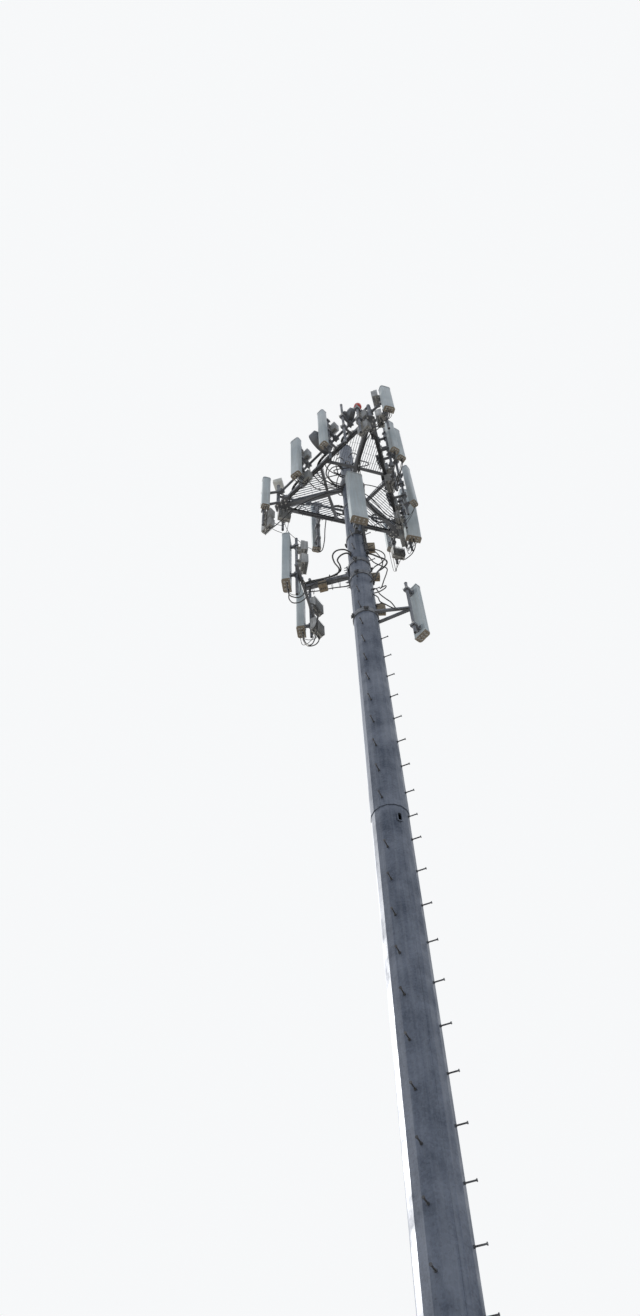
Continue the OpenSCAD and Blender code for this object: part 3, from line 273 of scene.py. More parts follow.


# every finish: dark and light are its clouds, marks its water runs, under the darker colour painted on its lower faces
# as shade together with grime
plainFinish = {
    "cloudScale": 2.2, "streakScale": 16.0, "markShare": 0.4, "specks": (0.16, 0.09, 0.05), "speckShare": 0.3,
    "underShadeAndGrimeShare": 0.5, "dust": (0.30, 0.29, 0.27), "dustShare": 0.25, "spangleScale": 70.0, "spangleShare": 0.0,
    "metallic": 0.0, "rough": (0.45, 0.75), "bump": 0.15, "bumpDepth": 0.002,
}
finishLooks = {
    "galvanised_shaft": {
        "dark": (0.058, 0.073, 0.106), "light": (0.128, 0.150, 0.198), "marks": (0.235, 0.26, 0.31),
        "markShare": 0.30, "under": (0.09, 0.095, 0.11), "cloudScale": 2.6, "streakScale": 15.0,
        "specks": (0.05, 0.055, 0.065), "speckShare": 0.55, "spangleShare": 0.20, "spangleScale": 45.0,
        "metallic": 0.30, "rough": (0.38, 0.66), "bump": 0.25,
    },
    "galvanised_steel": {
        "dark": (0.078, 0.086, 0.105), "light": (0.19, 0.202, 0.23), "marks": (0.28, 0.29, 0.31),
        "markShare": 0.35, "under": (0.118, 0.112, 0.106), "underShadeAndGrimeShare": 0.55, "speckShare": 0.45,
        "spangleShare": 0.22, "metallic": 0.30, "rough": (0.40, 0.72), "bump": 0.25,
    },
    "bolt_steel": {
        "dark": (0.045, 0.048, 0.056), "light": (0.13, 0.135, 0.145), "marks": (0.09, 0.080, 0.070),
        "under": (0.055, 0.055, 0.058), "cloudScale": 9.0, "specks": (0.17, 0.10, 0.06), "speckShare": 0.35,
        "spangleScale": 160.0, "spangleShare": 0.15, "metallic": 0.45, "rough": (0.35, 0.7), "bump": 0.3,
        "bumpDepth": 0.001,
    },
    "bright_fittings": {
        "dark": (0.40, 0.40, 0.40), "light": (0.80, 0.80, 0.78), "marks": (0.34, 0.31, 0.26),
        "under": (0.56, 0.53, 0.48), "cloudScale": 12.0, "specks": (0.15, 0.12, 0.09), "metallic": 0.5,
        "rough": (0.25, 0.5), "bump": 0.1, "bumpDepth": 0.001,
    },
    "grating_steel": {
        "dark": (0.10, 0.12, 0.16), "light": (0.20, 0.23, 0.29), "marks": (0.28, 0.30, 0.34),
        "under": (0.10, 0.10, 0.11), "spangleShare": 0.2, "spangleScale": 90.0, "metallic": 0.3,
        "rough": (0.4, 0.7), "bump": 0.2,
    },
    "radome": {
        "dark": (0.43, 0.49, 0.52), "light": (0.58, 0.635, 0.66), "marks": (0.36, 0.36, 0.33), "markShare": 0.30,
        "under": (0.235, 0.19, 0.14), "underShadeAndGrimeShare": 0.92, "cloudScale": 1.1, "streakScale": 30.0,
        "specks": (0.22, 0.20, 0.17), "speckShare": 0.28, "dust": (0.42, 0.40, 0.36), "dustShare": 0.4,
        "rough": (0.38, 0.60), "bump": 0.10,
    },
    "radio": {
        "dark": (0.33, 0.34, 0.35), "light": (0.60, 0.605, 0.60), "marks": (0.20, 0.19, 0.175), "markShare": 0.40,
        "under": (0.36, 0.33, 0.285), "underShadeAndGrimeShare": 0.45, "cloudScale": 3.5, "streakScale": 34.0,
        "specks": (0.10, 0.085, 0.07), "speckShare": 0.5, "rough": (0.42, 0.72), "bump": 0.2,
    },
    "dish_plastic": {
        "dark": (0.12, 0.135, 0.16), "light": (0.22, 0.24, 0.27), "marks": (0.10, 0.10, 0.11),
        "under": (0.11, 0.10, 0.095), "cloudScale": 4.0, "streakScale": 26.0, "rough": (0.45, 0.7), "bump": 0.12,
    },
    "box_paint": {
        "dark": (0.27, 0.22, 0.155), "light": (0.42, 0.355, 0.26), "marks": (0.17, 0.13, 0.09), "markShare": 0.5,
        "under": (0.25, 0.19, 0.13), "cloudScale": 6.0, "streakScale": 40.0, "specks": (0.16, 0.08, 0.04),
        "speckShare": 0.55, "rough": (0.5, 0.8), "bump": 0.2,
    },
    "cable_jacket": {
        "dark": (0.012, 0.012, 0.014), "light": (0.034, 0.034, 0.037), "marks": (0.06, 0.057, 0.052),
        "markShare": 0.3, "under": (0.02, 0.019, 0.018), "cloudScale": 5.0, "streakScale": 50.0,
        "specks": (0.09, 0.085, 0.08), "speckShare": 0.4, "dust": (0.11, 0.105, 0.10), "dustShare": 0.45,
        "rough": (0.32, 0.62), "bump": 0.2, "bumpDepth": 0.001,
    },
    "red_lens": {
        "dark": (0.36, 0.022, 0.016), "light": (0.56, 0.060, 0.040), "marks": (0.22, 0.13, 0.10),
        "under": (0.22, 0.13, 0.10), "underShadeAndGrimeShare": 0.0, "cloudScale": 14.0, "streakScale": 60.0, "speckShare": 0.0,
        "dust": (0.22, 0.13, 0.10), "dustShare": 0.3, "rough": (0.4, 0.12), "bump": 0.1, "bumpDepth": 0.001,
        "clear": 0.2, "glow": (0.70, 0.05, 0.03), "glowStrength": 0.12,  # painted glow: emission that stands in for daylight coming through the lens
    },
}
whiteRadio = {  # the louvred radio on the corner post
    "beyondX": -1.65, "aboveZ": 24.80, "edge": (0.01, 0.02), "share": 0.86, "paint": (0.90, 0.90, 0.86),
}


def paintWhiteRadio(tree, place, colour, look):
    split = addNode(tree, "ShaderNodeSeparateXYZ")
    tree.links.new(place, split.inputs[0])
    acrossEdge, aboveEdge = look["edge"]
    across = stretchValue(tree, split.outputs["X"], look["beyondX"] + acrossEdge, look["beyondX"])
    above = stretchValue(tree, split.outputs["Z"], look["aboveZ"], look["aboveZ"] + aboveEdge)
    share = timesValue(tree, timesValue(tree, across, above), look["share"])
    return blendColours(tree, colour, look["paint"], share)


def makeFinish(name, look):
    material = bpy.data.materials.new(name)
    material.use_nodes = True
    tree = material.node_tree
    paint = tree.nodes["Principled BSDF"]
    place = addNode(tree, "ShaderNodeTexCoord").outputs["Object"]
    scales = {"Cloud Scale": look["cloudScale"], "Streak Scale": look["streakScale"]}
    weather = useGroup(tree, weatherGroup, {"Place": place, **scales})
    facing = useGroup(tree, facingGroup, {})
    layers = [
        (look["marks"], weather.outputs["Streaks"], look["markShare"]),
        (look["specks"], weather.outputs["Specks"], look["speckShare"]),
        (look["dust"], facing.outputs["Top"], look["dustShare"]),
        # painted shade with grime: faces that point down turn darker and browner
        (look["under"], facing.outputs["UnderShadeAndGrime"], look["underShadeAndGrimeShare"]),
    ]
    if look["spangleShare"] > 0:
        spangle = useGroup(tree, spangleGroup, {"Place": place, "Scale": look["spangleScale"]})
        bright = tuple(2.0 * part for part in look["light"])
        layers.insert(0, (bright, spangle.outputs["Cells"], look["spangleShare"]))
    colour = blendColours(tree, look["dark"], look["light"], weather.outputs["Clouds"])
    for tone, mask, share in layers:
        colour = blendColours(tree, colour, tone, timesValue(tree, mask, share))
    if name == "radio":
        colour = paintWhiteRadio(tree, place, colour, whiteRadio)
    tree.links.new(colour, paint.inputs["Base Color"])
    smooth, rough = look["rough"]
    roughness = stretchValue(tree, weather.outputs["Clouds"], 0.0, 1.0, rough, smooth)
    tree.links.new(roughness, paint.inputs["Roughness"])
    paint.inputs["Metallic"].default_value = look["metallic"]
    # the lens is painted to glow: its emission stands in for daylight shining through it
    if "glow" in look:
        paint.inputs["Transmission Weight"].default_value = look["clear"]
        paint.inputs["Emission Color"].default_value = (*look["glow"], 1.0)
        paint.inputs["Emission Strength"].default_value = look["glowStrength"]
    bump = addNode(tree, "ShaderNodeBump", None, {"Strength": look["bump"], "Distance": look["bumpDepth"]})
    tree.links.new(weather.outputs["Grain"], bump.inputs["Height"])
    tree.links.new(bump.outputs["Normal"], paint.inputs["Normal"])
    return material


finishes = {name: makeFinish(name, {**plainFinish, **look}) for name, look in finishLooks.items()}
for entry in frame["record"]["subparts"]:
    part = nodes[entry["node"]]
    part.data.materials.clear()
    part.data.materials.append(finishes[entry["material_slot"]])
print("finishes ready:", len(finishes))


# shapes: a shape is a list of points and a list of faces, which grows until it is finished
def newShape():
    return {"points": [], "faces": []}


def addRings(shape, rings, closed=False):
    start, count = len(shape["points"]), len(rings[0])
    for ring in rings:
        shape["points"].extend(Vector(point) for point in ring)
    for k in range(len(rings) if closed else len(rings) - 1):
        low = start + k * count
        high = start + (k + 1) % len(rings) * count
        for j in range(count):
            after = (j + 1) % count
            shape["faces"].append((low + j, low + after, high + after, high + j))
    if not closed:
        last = start + (len(rings) - 1) * count
        shape["faces"].append(tuple(start + j for j in reversed(range(count))))
        shape["faces"].append(tuple(last + j for j in range(count)))


def sideAxes(axis):
    along = Vector(axis).normalized()
    hint = Vector((0, 0, 1)) if abs(along.z) < 0.9 else Vector((1, 0, 0))
    first = hint.cross(along).normalized()
    return along, first, along.cross(first)


def circleRing(middle, first, second, radius, sides, turn=0.0):
    angles = [turn + 2 * math.pi * j / sides for j in range(sides)]
    return [middle + (first * math.cos(angle) + second * math.sin(angle)) * radius for angle in angles]


def addLathe(shape, origin, axis, profile, sides=12, turn=0.0):
    along, first, second = sideAxes(axis)
    start = Vector(origin)
    addRings(shape, [circleRing(start + along * far, first, second, radius, sides, turn) for radius, far in profile])


def addTurned(shape, place, at, axis, profile, sides=12, turn=0.0):
    addLathe(shape, place @ Vector(at), place.to_3x3() @ Vector(axis), profile, sides, turn)


def addTube(shape, points, radius, sides=6, closed=False):
    points = [Vector(point) for point in points]
    last = len(points) - 1
    first = None
    rings = []
    for k, point in enumerate(points):
        before = points[(k - 1) % len(points)] if closed else points[max(k - 1, 0)]
        after = points[(k + 1) % len(points)] if closed else points[min(k + 1, last)]
        along = (after - before).normalized()
        if first is None:
            first = sideAxes(along)[1]
        first = (first - along * first.dot(along)).normalized()
        rings.append(circleRing(point, first, along.cross(first), radius, sides))
    addRings(shape, rings, closed)


def addBlock(shape, place, at, size, ease=0.003):
    place = place @ Matrix.Translation(at)
    wide, deep, tall = (part / 2 for part in size)
    rings = []
    for far, inset in ((-tall, ease), (ease - tall, 0.0), (tall - ease, 0.0), (tall, ease)):
        x, y = wide - inset, deep - inset
        near, side = x - ease, y - ease
        ring = [(near, -y), (x, -side), (x, side), (near, y), (-near, y), (-x, side), (-x, -side), (-near, -y)]
        rings.append([place @ Vector((*point, far)) for point in ring])
    addRings(shape, rings)


def smoothPath(points, steps=5):
    points = [Vector(point) for point in points]
    last = len(points) - 1
    line = []
    for k in range(last):
        a, b, c, d = points[max(k - 1, 0)], points[k], points[k + 1], points[min(k + 2, last)]
        for s in range(steps):
            t = s / steps
            bend = (2 * a - 5 * b + 4 * c - d) * t * t + (3 * b - a - 3 * c + d) * t * t * t
            line.append(0.5 * (2 * b + (c - a) * t + bend))
    line.append(points[last])
    return line


def finishPiece(name, shape, finish, sharp=35.0):
    mesh = bpy.data.meshes.new(name)
    mesh.from_pydata([tuple(point) for point in shape["points"]], [], shape["faces"])
    mesh.polygons.foreach_set("use_smooth", [True] * len(mesh.polygons))
    mesh.set_sharp_from_angle(angle=math.radians(sharp))
    mesh.materials.append(finishes[finish])
    piece = bpy.data.objects.new(name, mesh)
    bpy.context.scene.collection.objects.link(piece)
    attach(piece, "root")
    return piece


# where the tower's main pieces are, in metres and degrees
levels = {"platform": 23.62, "rail": 24.28, "leftArm": 19.40, "top": 25.90}
shaftForm = {
    "turn": -8.2, "sides": 16, "joint": 12.15,
    "foot": 0.680, "footTaper": 0.0115, "upper": 0.562275, "upperTaper": 0.0175,
}
faceTurns = {"left": 240.0, "right": 0.0, "far": 120.0}
cornerTurns = (180, 300, 60)
fourWays = [(-1, -1), (-1, 1), (1, -1), (1, 1)]


def shaftWidth(height):
    if height < shaftForm["joint"]:
        return shaftForm["foot"] - shaftForm["footTaper"] * height
    return shaftForm["upper"] - shaftForm["upperTaper"] * (height - shaftForm["joint"])


def cornerRadius(height):
    return shaftWidth(height) / 2 / math.cos(math.pi / shaftForm["sides"])


def rotation(turn, axis="Z"):
    return Matrix.Rotation(math.radians(turn), 4, axis)


def turned(x, y, z, turn=0.0):
    return Matrix.Translation((x, y, z)) @ rotation(turn)


def onFace(face, outward, along, height, turn=0.0):
    angle = math.radians(faceTurns[face])
    x = outward * math.cos(angle) - along * math.sin(angle)
    y = outward * math.sin(angle) + along * math.cos(angle)
    return turned(x, y, height, faceTurns[face] + turn)


washerForm = [(1.30, 0.0), (1.30, 0.16), (1.24, 0.22)]  # radius and height, as shares of the nut's radius
hexagonForm = [(0.94, 0.20), (1.0, 0.30), (1.0, 0.95), (0.88, 1.08)]
threadForm = {"groove": 0.9, "tip": 0.6, "tipLength": 0.2}  # shares of the rod's radius


def moved(place, points):
    return [place @ Vector(point) for point in points]


def addNut(shape, place, at, axis, size, turn=0.3):
    for form, sides, start in ((washerForm, 12, 0.0), (hexagonForm, 6, turn)):
        profile = [(size * wide, size * far) for wide, far in form]
        addTurned(shape, place, at, axis, profile, sides, start)


def addThread(shape, place, at, axis, size, length, sides=8, pitch=0.006):
    profile = []
    count = max(2, int(length / pitch))
    groove = size * threadForm["groove"]
    for k in range(count):
        profile += [(groove, length * k / count), (size, length * (k + 0.5) / count)]
    profile += [(groove, length), (size * threadForm["tip"], length + size * threadForm["tipLength"])]
    addTurned(shape, place, at, axis, profile, sides)


# foot of the shaft: anchor rods with nuts
anchors = {"count": 12, "circle": 0.430, "rod": 0.028, "low": 0.002, "top": 0.165, "nut": 0.048, "nutLevel": 0.050}


def makeAnchors(look):
    shape = newShape()
    up = (0, 0, 1)
    for k in range(look["count"]):
        place = rotation(shaftForm["turn"] + 360 / look["count"] * (k + 0.5))
        addThread(shape, place, (look["circle"], 0, look["low"]), up, look["rod"], look["top"], 14, 0.009)
        addNut(shape, place, (look["circle"], 0, look["nutLevel"]), up, look["nut"], 0.2 * k)
    finishPiece("anchor_rods", shape, "bolt_steel")


makeAnchors(anchors)

# welds of the shaft: one round its foot, one along each section
welds = {
    "foot": 0.011, "footHeight": 0.055, "seam": 0.005, "seamTurn": -53.2, "steps": 60,
    "lower": (0.07, 11.70), "upper": (12.17, levels["top"] - 0.02),
}


def cornerLoop(height, grow, steps=5):
    points = []
    radius = cornerRadius(height) + grow
    side = 360 / shaftForm["sides"]
    for k in range(shaftForm["sides"]):
        first, second = (polar(radius, shaftForm["turn"] + side * (k + step), height) for step in (0.5, 1.5))
        points += [first.lerp(second, s / steps) for s in range(steps)]
    return points


def wobble(k, size):
    return size * (math.sin(k * 1.9) + 0.6 * math.sin(k * 4.7 + 1.0))


def addSeam(shape, turn, low, high, size, steps):
    points = []
    for k in range(steps + 1):
        height = low + (high - low) * k / steps
        out = shaftWidth(height) / 2 - size * 0.35
        points.append(polar(out, turn, height) + polar(1, turn + 90) * wobble(k, 0.0004))
    addTube(shape, points, size, 6)


def makeWelds(look):
    shape = newShape()
    line = enumerate(cornerLoop(look["footHeight"], 0.002))
    addTube(shape, [point + Vector((0, 0, wobble(k, 0.0008))) for k, point in line], look["foot"], 8, True)
    addSeam(shape, look["seamTurn"], *look["lower"], look["seam"], look["steps"])
    addSeam(shape, look["seamTurn"] + 180, *look["upper"], look["seam"], look["steps"])
    finishPiece("shaft_welds", shape, "galvanised_shaft", sharp=60)


makeWelds(welds)

handHole = {"height": 1.10, "turn": -98.2, "rise": 0.186, "aside": 0.108, "lug": (0.034, 0.030, 0.050), "nut": 0.012}


def makeHandHoleLugs(look):
    shape = newShape()
    for side, rise in fourWays:
        height = look["height"] + rise * look["rise"]
        place = rotation(look["turn"])
        at = Vector((shaftWidth(height) / 2 + 0.016, side * look["aside"], height))
        addBlock(shape, place, at, look["lug"], 0.004)
        addNut(shape, place, at + Vector((look["lug"][0] / 2, 0, 0)), (1, 0, 0), look["nut"])
    finishPiece("hand_hole_lugs", shape, "galvanised_shaft")


makeHandHoleLugs(handHole)
print("foot and shaft details ready")

# bands round the shaft: lugs and bolts that pull them tight
bands = {
    "size": (0.044, 0.012, 0.085), "proud": 0.032, "gap": 0.034, "rise": 0.022,
    "rodProud": 0.038, "rod": 0.008, "rodMore": 0.034, "nut": 0.014, "nutGap": 0.006,
    "turns": {  # level of the band: where its lugs are
        19.63: (25, 145, 262), 19.08: (25, 145, 262), 17.60: (95, 215, 285),
        20.82: (60, 170, 300), 22.42: (60, 170, 300),
    },
}


def makeBandLugs(look):
    shape = newShape()
    half = look["gap"] / 2
    reach = half + look["rodMore"]
    for height, turns in look["turns"].items():
        radius = cornerRadius(height)
        out = radius + look["rodProud"]
        for turn in turns:
            place = rotation(turn)
            for side in (-1, 1):
                addBlock(shape, place, (radius + look["proud"], side * half, height), look["size"])
            for rise in (-look["rise"], look["rise"]):
                addThread(shape, place, (out, -reach, height + rise), (0, 1, 0), look["rod"], 2 * reach)
                for side in (1, -1):
                    at = (out, side * (half + look["nutGap"]), height + rise)
                    addNut(shape, place, at, (0, side, 0), look["nut"])
    finishPiece("band_bolts", shape, "bolt_steel")


makeBandLugs(bands)

# threaded rods beside the lower left arm's tall plate, long ends left standing
plateRods = {
    "x": -0.253, "sides": (-0.066, 0.066), "low": 19.06, "high": 19.66, "count": 7, "clear": 0.06,
    "length": 0.067, "more": 0.01, "rod": 0.009, "nut": 0.016,
}


def makePlateRods(look):
    shape = newShape()
    for side in look["sides"]:
        for k in range(look["count"]):
            height = look["low"] + (look["high"] - look["low"]) * k / (look["count"] - 1)
            if abs(height - levels["leftArm"]) < look["clear"]:
                continue
            place = Matrix.Translation((look["x"], side, height))
            length = look["length"] + look["more"] * (k % 2)
            addThread(shape, place, (0.012, 0, 0), (-1, 0, 0), look["rod"], length)
            addNut(shape, place, (0, 0, 0), (-1, 0, 0), look["nut"], 0.4 * k)
    finishPiece("plate_rods", shape, "bolt_steel")


makePlateRods(plateRods)
print("bands ready")

# platform: bolts, weld beads, cross rods of the gratings
platform = {
    "sideN": 0.94, "railN": 0.92, "pipeN": 1.18, "postR": 1.80, "collar": 0.2312,
}
clampBolts = {  # outwards, half width, half height, nut and rod length of each clamp's four bolts
    "most": 1.423, "beam": (0.012, 0.062, 0.030, 0.014, 0.034), "rail": (0.055, 0.040, 0.040, 0.012, 0.030),
    "pipe": (0.055, 0.041, 0.038, 0.012, 0.028),
}
standing = {  # pipes that stand on each face: place along it, offset outwards, kind of pipe
    "left": [
        (-1.76, 0, "antenna"), (-0.46, 0, "antenna"), (0.485, 0, "antenna"), (0.975, 0, "mast"), (1.35, -0.11, "radio"),
    ],
    "right": [
        (-1.6, 0.08, "antenna"), (-0.71, -0.06, "antenna"), (-0.48, 0.04, "antenna"), (0.56, 0.03, "antenna"),
        (1.5, -0.09, "antenna"), (0, -0.09, "radio"), (1.0, -0.09, "radio"),
    ],
    "far": [(-1.45, 0, "antenna"), (-0.6, 0, "antenna"), (0.5, 0, "antenna"), (1.4, -0.11, "radio")],
}


def onPipe(face, along, offset, rise, turn=0.0):
    return onFace(face, platform["pipeN"] + offset, along, levels["platform"] + rise, turn)


def addFourBolts(shape, place, out, wide, tall, size, length):
    for side, rise in fourWays:
        at = (out, side * wide, rise * tall)
        addThread(shape, place, (out - 0.002, *at[1:]), (1, 0, 0), size * 0.55, length, 6, 0.008)
        addNut(shape, place, at, (1, 0, 0), size)


def addClampBolts(shape, look):
    for face, pipes in standing.items():
        for along, offset, _ in pipes:
            held = max(-look["most"], min(look["most"], along))
            beam = onFace(face, platform["sideN"], held, levels["platform"])
            addFourBolts(shape, beam, *look["beam"])
            rail = onFace(face, platform["railN"], held, levels["rail"], 180)
            addFourBolts(shape, rail, *look["rail"])
            for height in (levels["platform"], levels["rail"]):
                pipe = onFace(face, platform["pipeN"] + offset, along, height)
                addFourBolts(shape, pipe, *look["pipe"])


cornerBolts = {
    "rows": [(1.585, (0.070, 0.150)), (1.690, (0.070, 0.150)), (1.790, (0.070,))],  # radius, places across
    "under": 23.5575, "rod": 0.010, "length": 0.036, "nut": 0.017,
}


def addCornerBolts(shape, look):
    for turn in cornerTurns:
        place = rotation(turn)
        for row, (radius, slots) in enumerate(look["rows"]):
            for side in (-1, 1):
                for slot in slots:
                    x, y, z = radius, side * slot, look["under"]
                    addThread(shape, place, (x, y, z + 0.004), (0, 0, -1), look["rod"], look["length"], 6, 0.009)
                    addNut(shape, place, (x, y, z), (0, 0, -1), look["nut"], row + slot)


def makePlatformBolts():
    shape = newShape()
    addClampBolts(shape, clampBolts)
    addCornerBolts(shape, cornerBolts)
    finishPiece("platform_bolts", shape, "bright_fittings")


makePlatformBolts()

gratingRods = {
    "count": 5, "radius": 0.0028, "height": 23.696, "clips": (0.25, 0.75), "clip": (0.050, 0.040, 0.034),
    "corner": (0.90, 1.4288), "inner": (0.30, 0.4276), "middle": (0.90, 0.03),
}


def makeGratingRods(look):
    for face in faceTurns:
        shape = newShape()
        place = onFace(face, 0, 0, look["height"])
        for side in (-1, 1):
            corner, inner, middle = (
                Vector((look[key][0], side * look[key][1])) for key in ("corner", "inner", "middle"))
            for k in range(1, look["count"] + 1):
                share = k / (look["count"] + 1)
                start, end = corner.lerp(inner, share), corner.lerp(middle, share)
                line = [place @ Vector((*start.lerp(end, s / 2), 0)) for s in range(3)]
                addTube(shape, line, look["radius"], 6)
            for share in look["clips"]:  # clips that hold the grating to the beam
                at = corner.lerp(middle, share)
                clip = onFace(face, at[0] + 0.004, at[1], levels["platform"] + 0.067)
                addBlock(shape, clip, (0, 0, 0), look["clip"], 0.004)
                addNut(shape, clip, (0, 0, look["clip"][2] / 2), (0, 0, 1), 0.010)
        finishPiece("grating_rods_" + face, shape, "grating_steel")


makeGratingRods(gratingRods)

beads = {"radius": 0.006, "arm": 0.052, "post": 0.0445, "collar": 0.160}


def onRound(radius, y):
    return math.sqrt(max(radius ** 2 - y * y, 0))


def makePlatformWelds(look):
    shape = newShape()
    half = look["arm"]
    square = [(-half, -half), (0, -half), (half, -half), (half, 0), (half, half), (0, half), (-half, half), (-half, 0)]
    reaches = (
        lambda y: onRound(platform["collar"], y),
        lambda y: platform["postR"] - onRound(look["post"], y),
    )
    for turn in cornerTurns:
        place = rotation(turn)
        for reach in reaches:
            points = [(reach(y) + wobble(k, 0.001), y, levels["platform"] + z) for k, (y, z) in enumerate(square)]
            addTube(shape, moved(place, points), look["radius"], 6, True)
    for height in (levels["platform"] - look["collar"], levels["platform"] + look["collar"]):
        addTube(shape, cornerLoop(height, 0.004, 2), look["radius"], 6, True)
    finishPiece("platform_welds", shape, "galvanised_steel", sharp=60)


makePlatformWelds(beads)
print("platform details ready")

# panel antennas on each face: place along it, offset outwards, rise, turn, width, height, depth, lean, ribs
panels = {
    "left": [
        (-1.76, 0, 0.30, 60, 0.20, 1.56, 0.14, 0, 1), (-0.46, 0, 0.30, 8, 0.25, 2.04, 0.14, 0, 1),
        (0.485, 0, 0.47, 0, 0.20, 2.04, 0.14, 0, 1),
    ],
    "right": [
        (-1.6, 0.08, 0.30, -58, 0.25, 1.37, 0.14, 0, 0), (-0.71, -0.06, 0.30, -43, 0.20, 1.68, 0.14, 0, 1),
        (-0.48, 0.04, 0.30, -43, 0.20, 1.68, 0.14, 0, 1), (0.56, 0.03, 0.30, -20, 0.20, 2.04, 0.14, 0, 0),
        (1.5, -0.09, 0.30, -62, 0.37, 2.30, 0.17, 4, 0),
    ],
    "far": [
        (-1.45, 0, 0.70, 0, 0.20, 1.37, 0.14, 0, 1), (-0.6, 0, 0.30, 0, 0.20, 2.04, 0.14, 0, 0),
        (0.5, 0, 0.30, 0, 0.20, 2.30, 0.14, 0, 0),
    ],
}
frontPipe = polar(0.47, -77, 21.62)
lowPanels = [  # x, y, height of the middle, turn, width, height, depth, lean, ribs, bracket inset
    (-1.2785, -0.26, 20.18, 188, 0.33, 2.04, 0.17, 0, 0, 0.40),
    (-1.2785, 0.80, 20.02, 188, 0.30, 2.04, 0.17, 0, 1), (0.87, 0.0, 17.66, 55, 0.28, 1.68, 0.14, 0, 0),
    (*frontPipe, -59, 0.37, 2.30, 0.17, 0, 0),
]
panelTrim = {
    "gap": 0.130, "inset": 0.19, "cap": 0.040, "proud": 0.0035, "rib": 0.006, "ribPlace": 0.17, "ribGap": 0.004,
    "gasket": 0.0028, "round": 0.050, "capScrewAt": (0.12, 0.38), "sideScrewAt": (0.35, 0.02),
    "capScrew": [(0.0075, -0.001), (0.0075, 0.0015), (0.005, 0.003)],
    "sideScrew": [(0.006, 0), (0.006, 0.0012), (0.004, 0.0024)],
    "socket": [(0.020, 0.0), (0.020, 0.006), (0.017, 0.008)],
    "socketNut": [(0.0165, 0.014), (0.0175, 0.016), (0.0175, 0.028), (0.0155, 0.031)],
}


def describePanel(pipe, wide, tall, deep, lean, ribs, inset=panelTrim["inset"]):
    reach = tall / 2 - panelTrim["inset"]  # leaning panels turn about the lower bracket
    low = Matrix.Translation((panelTrim["gap"], 0, -reach))
    shell = pipe @ low @ rotation(lean, "Y") @ Matrix.Translation((0, 0, reach))
    return {
        "pipe": pipe, "shell": shell, "wide": wide, "tall": tall, "deep": deep, "lean": lean, "ribs": ribs,
        "inset": inset,
    }


def listPanels():
    found = []
    for face, entries in panels.items():
        found += [describePanel(onPipe(face, *entry[:4]), *entry[4:]) for entry in entries]
    return found + [describePanel(turned(*entry[:4]), *entry[4:]) for entry in lowPanels]


panelList = listPanels()


def radomeOutline(panel, grow):
    half, bend = panel["wide"] / 2, panelTrim["round"]
    front, reach = panel["deep"] - bend, bend + grow
    points = [(-grow, -half - grow), (front, -half - grow)]
    for side, start in ((-1, -90), (1, 0)):
        for step in range(5):
            curve = polar(reach, start + 22.5 * step)
            points.append((front + curve.x, side * (half - bend) + curve.y))
    return points + [(front, half + grow), (-grow, half + grow)]


def makePanelTrim(look):
    ribs, gaskets, fittings = newShape(), newShape(), newShape()
    for panel in panelList:
        shell, wide, deep = panel["shell"], panel["wide"], panel["deep"]
        half = panel["tall"] / 2
        if panel["ribs"]:
            out = deep + look["proud"] - look["rib"]
            high = half - look["cap"] - look["ribGap"]
            for side in (-1, 1):
                line = [(out, side * wide * look["ribPlace"], high * s) for s in (-1, -0.99, 0, 0.99, 1)]
                addTube(ribs, moved(shell, line), look["rib"], 10)
        for end in (-1, 1):
            height = end * (half - look["cap"] - look["gasket"] * 0.5)
            loop = [shell @ Vector((x, y, height)) for x, y in radomeOutline(panel, 0.0005)]
            addTube(gaskets, loop, look["gasket"], 6, True)
            for side in (-1, 1):
                forward, across = look["capScrewAt"]
                addTurned(fittings, shell, (deep * forward, wide * side * across, end * half), (0, 0, end),
                          look["capScrew"], 8)
                forward, down = look["sideScrewAt"]
                at = (deep * forward, side * (wide / 2 + look["proud"]), end * (half - down))
                addTurned(fittings, shell, at, (0, side, 0), look["sideScrew"], 8)
        for row in (1, 2):
            for side in (-1, 0, 1):
                at = (deep * row / 3, side * wide / 4, -half)
                addTurned(fittings, shell, at, (0, 0, -1), look["socket"], 12)
                addTurned(fittings, shell, at, (0, 0, -1), look["socketNut"], 6, 0.5 * side)
    finishPiece("panel_ribs", ribs, "radome")
    finishPiece("panel_gaskets", gaskets, "cable_jacket")
    finishPiece("panel_connectors", fittings, "bright_fittings")


makePanelTrim(panelTrim)

bracketBolts = {"jaw": 0.048, "side": 0.043, "rod": 0.0055, "nut": 0.011, "smallNut": 0.008, "rise": 0.055}


def makeBracketBolts(look):
    shape = newShape()
    jaw = look["jaw"]
    for panel in panelList:
        span = panel["tall"] / 2 - panel["inset"]
        slope = math.tan(math.radians(panel["lean"]))
        for end in (-1, 1):
            reach = panelTrim["gap"] + (2 * span * slope if end > 0 else 0)
            place = panel["pipe"] @ Matrix.Translation((0, 0, end * span))
            for side in (-look["side"], look["side"]):
                addThread(shape, place, (-jaw - 0.034, side, 0), (1, 0, 0), look["rod"], 2 * jaw + 0.052, 6, 0.009)
                for way in (-1, 1):
                    addNut(shape, place, (way * jaw, side, 0), (way, 0, 0), look["nut"])
                for rise in (-look["rise"], look["rise"]):
                    at = (reach - 0.010 + rise * slope, side * 0.95, rise)
                    addNut(shape, place, at, (-1, 0, 0), look["smallNut"])
    finishPiece("bracket_bolts", shape, "bright_fittings")


makeBracketBolts(bracketBolts)
print("panels ready:", len(panelList))

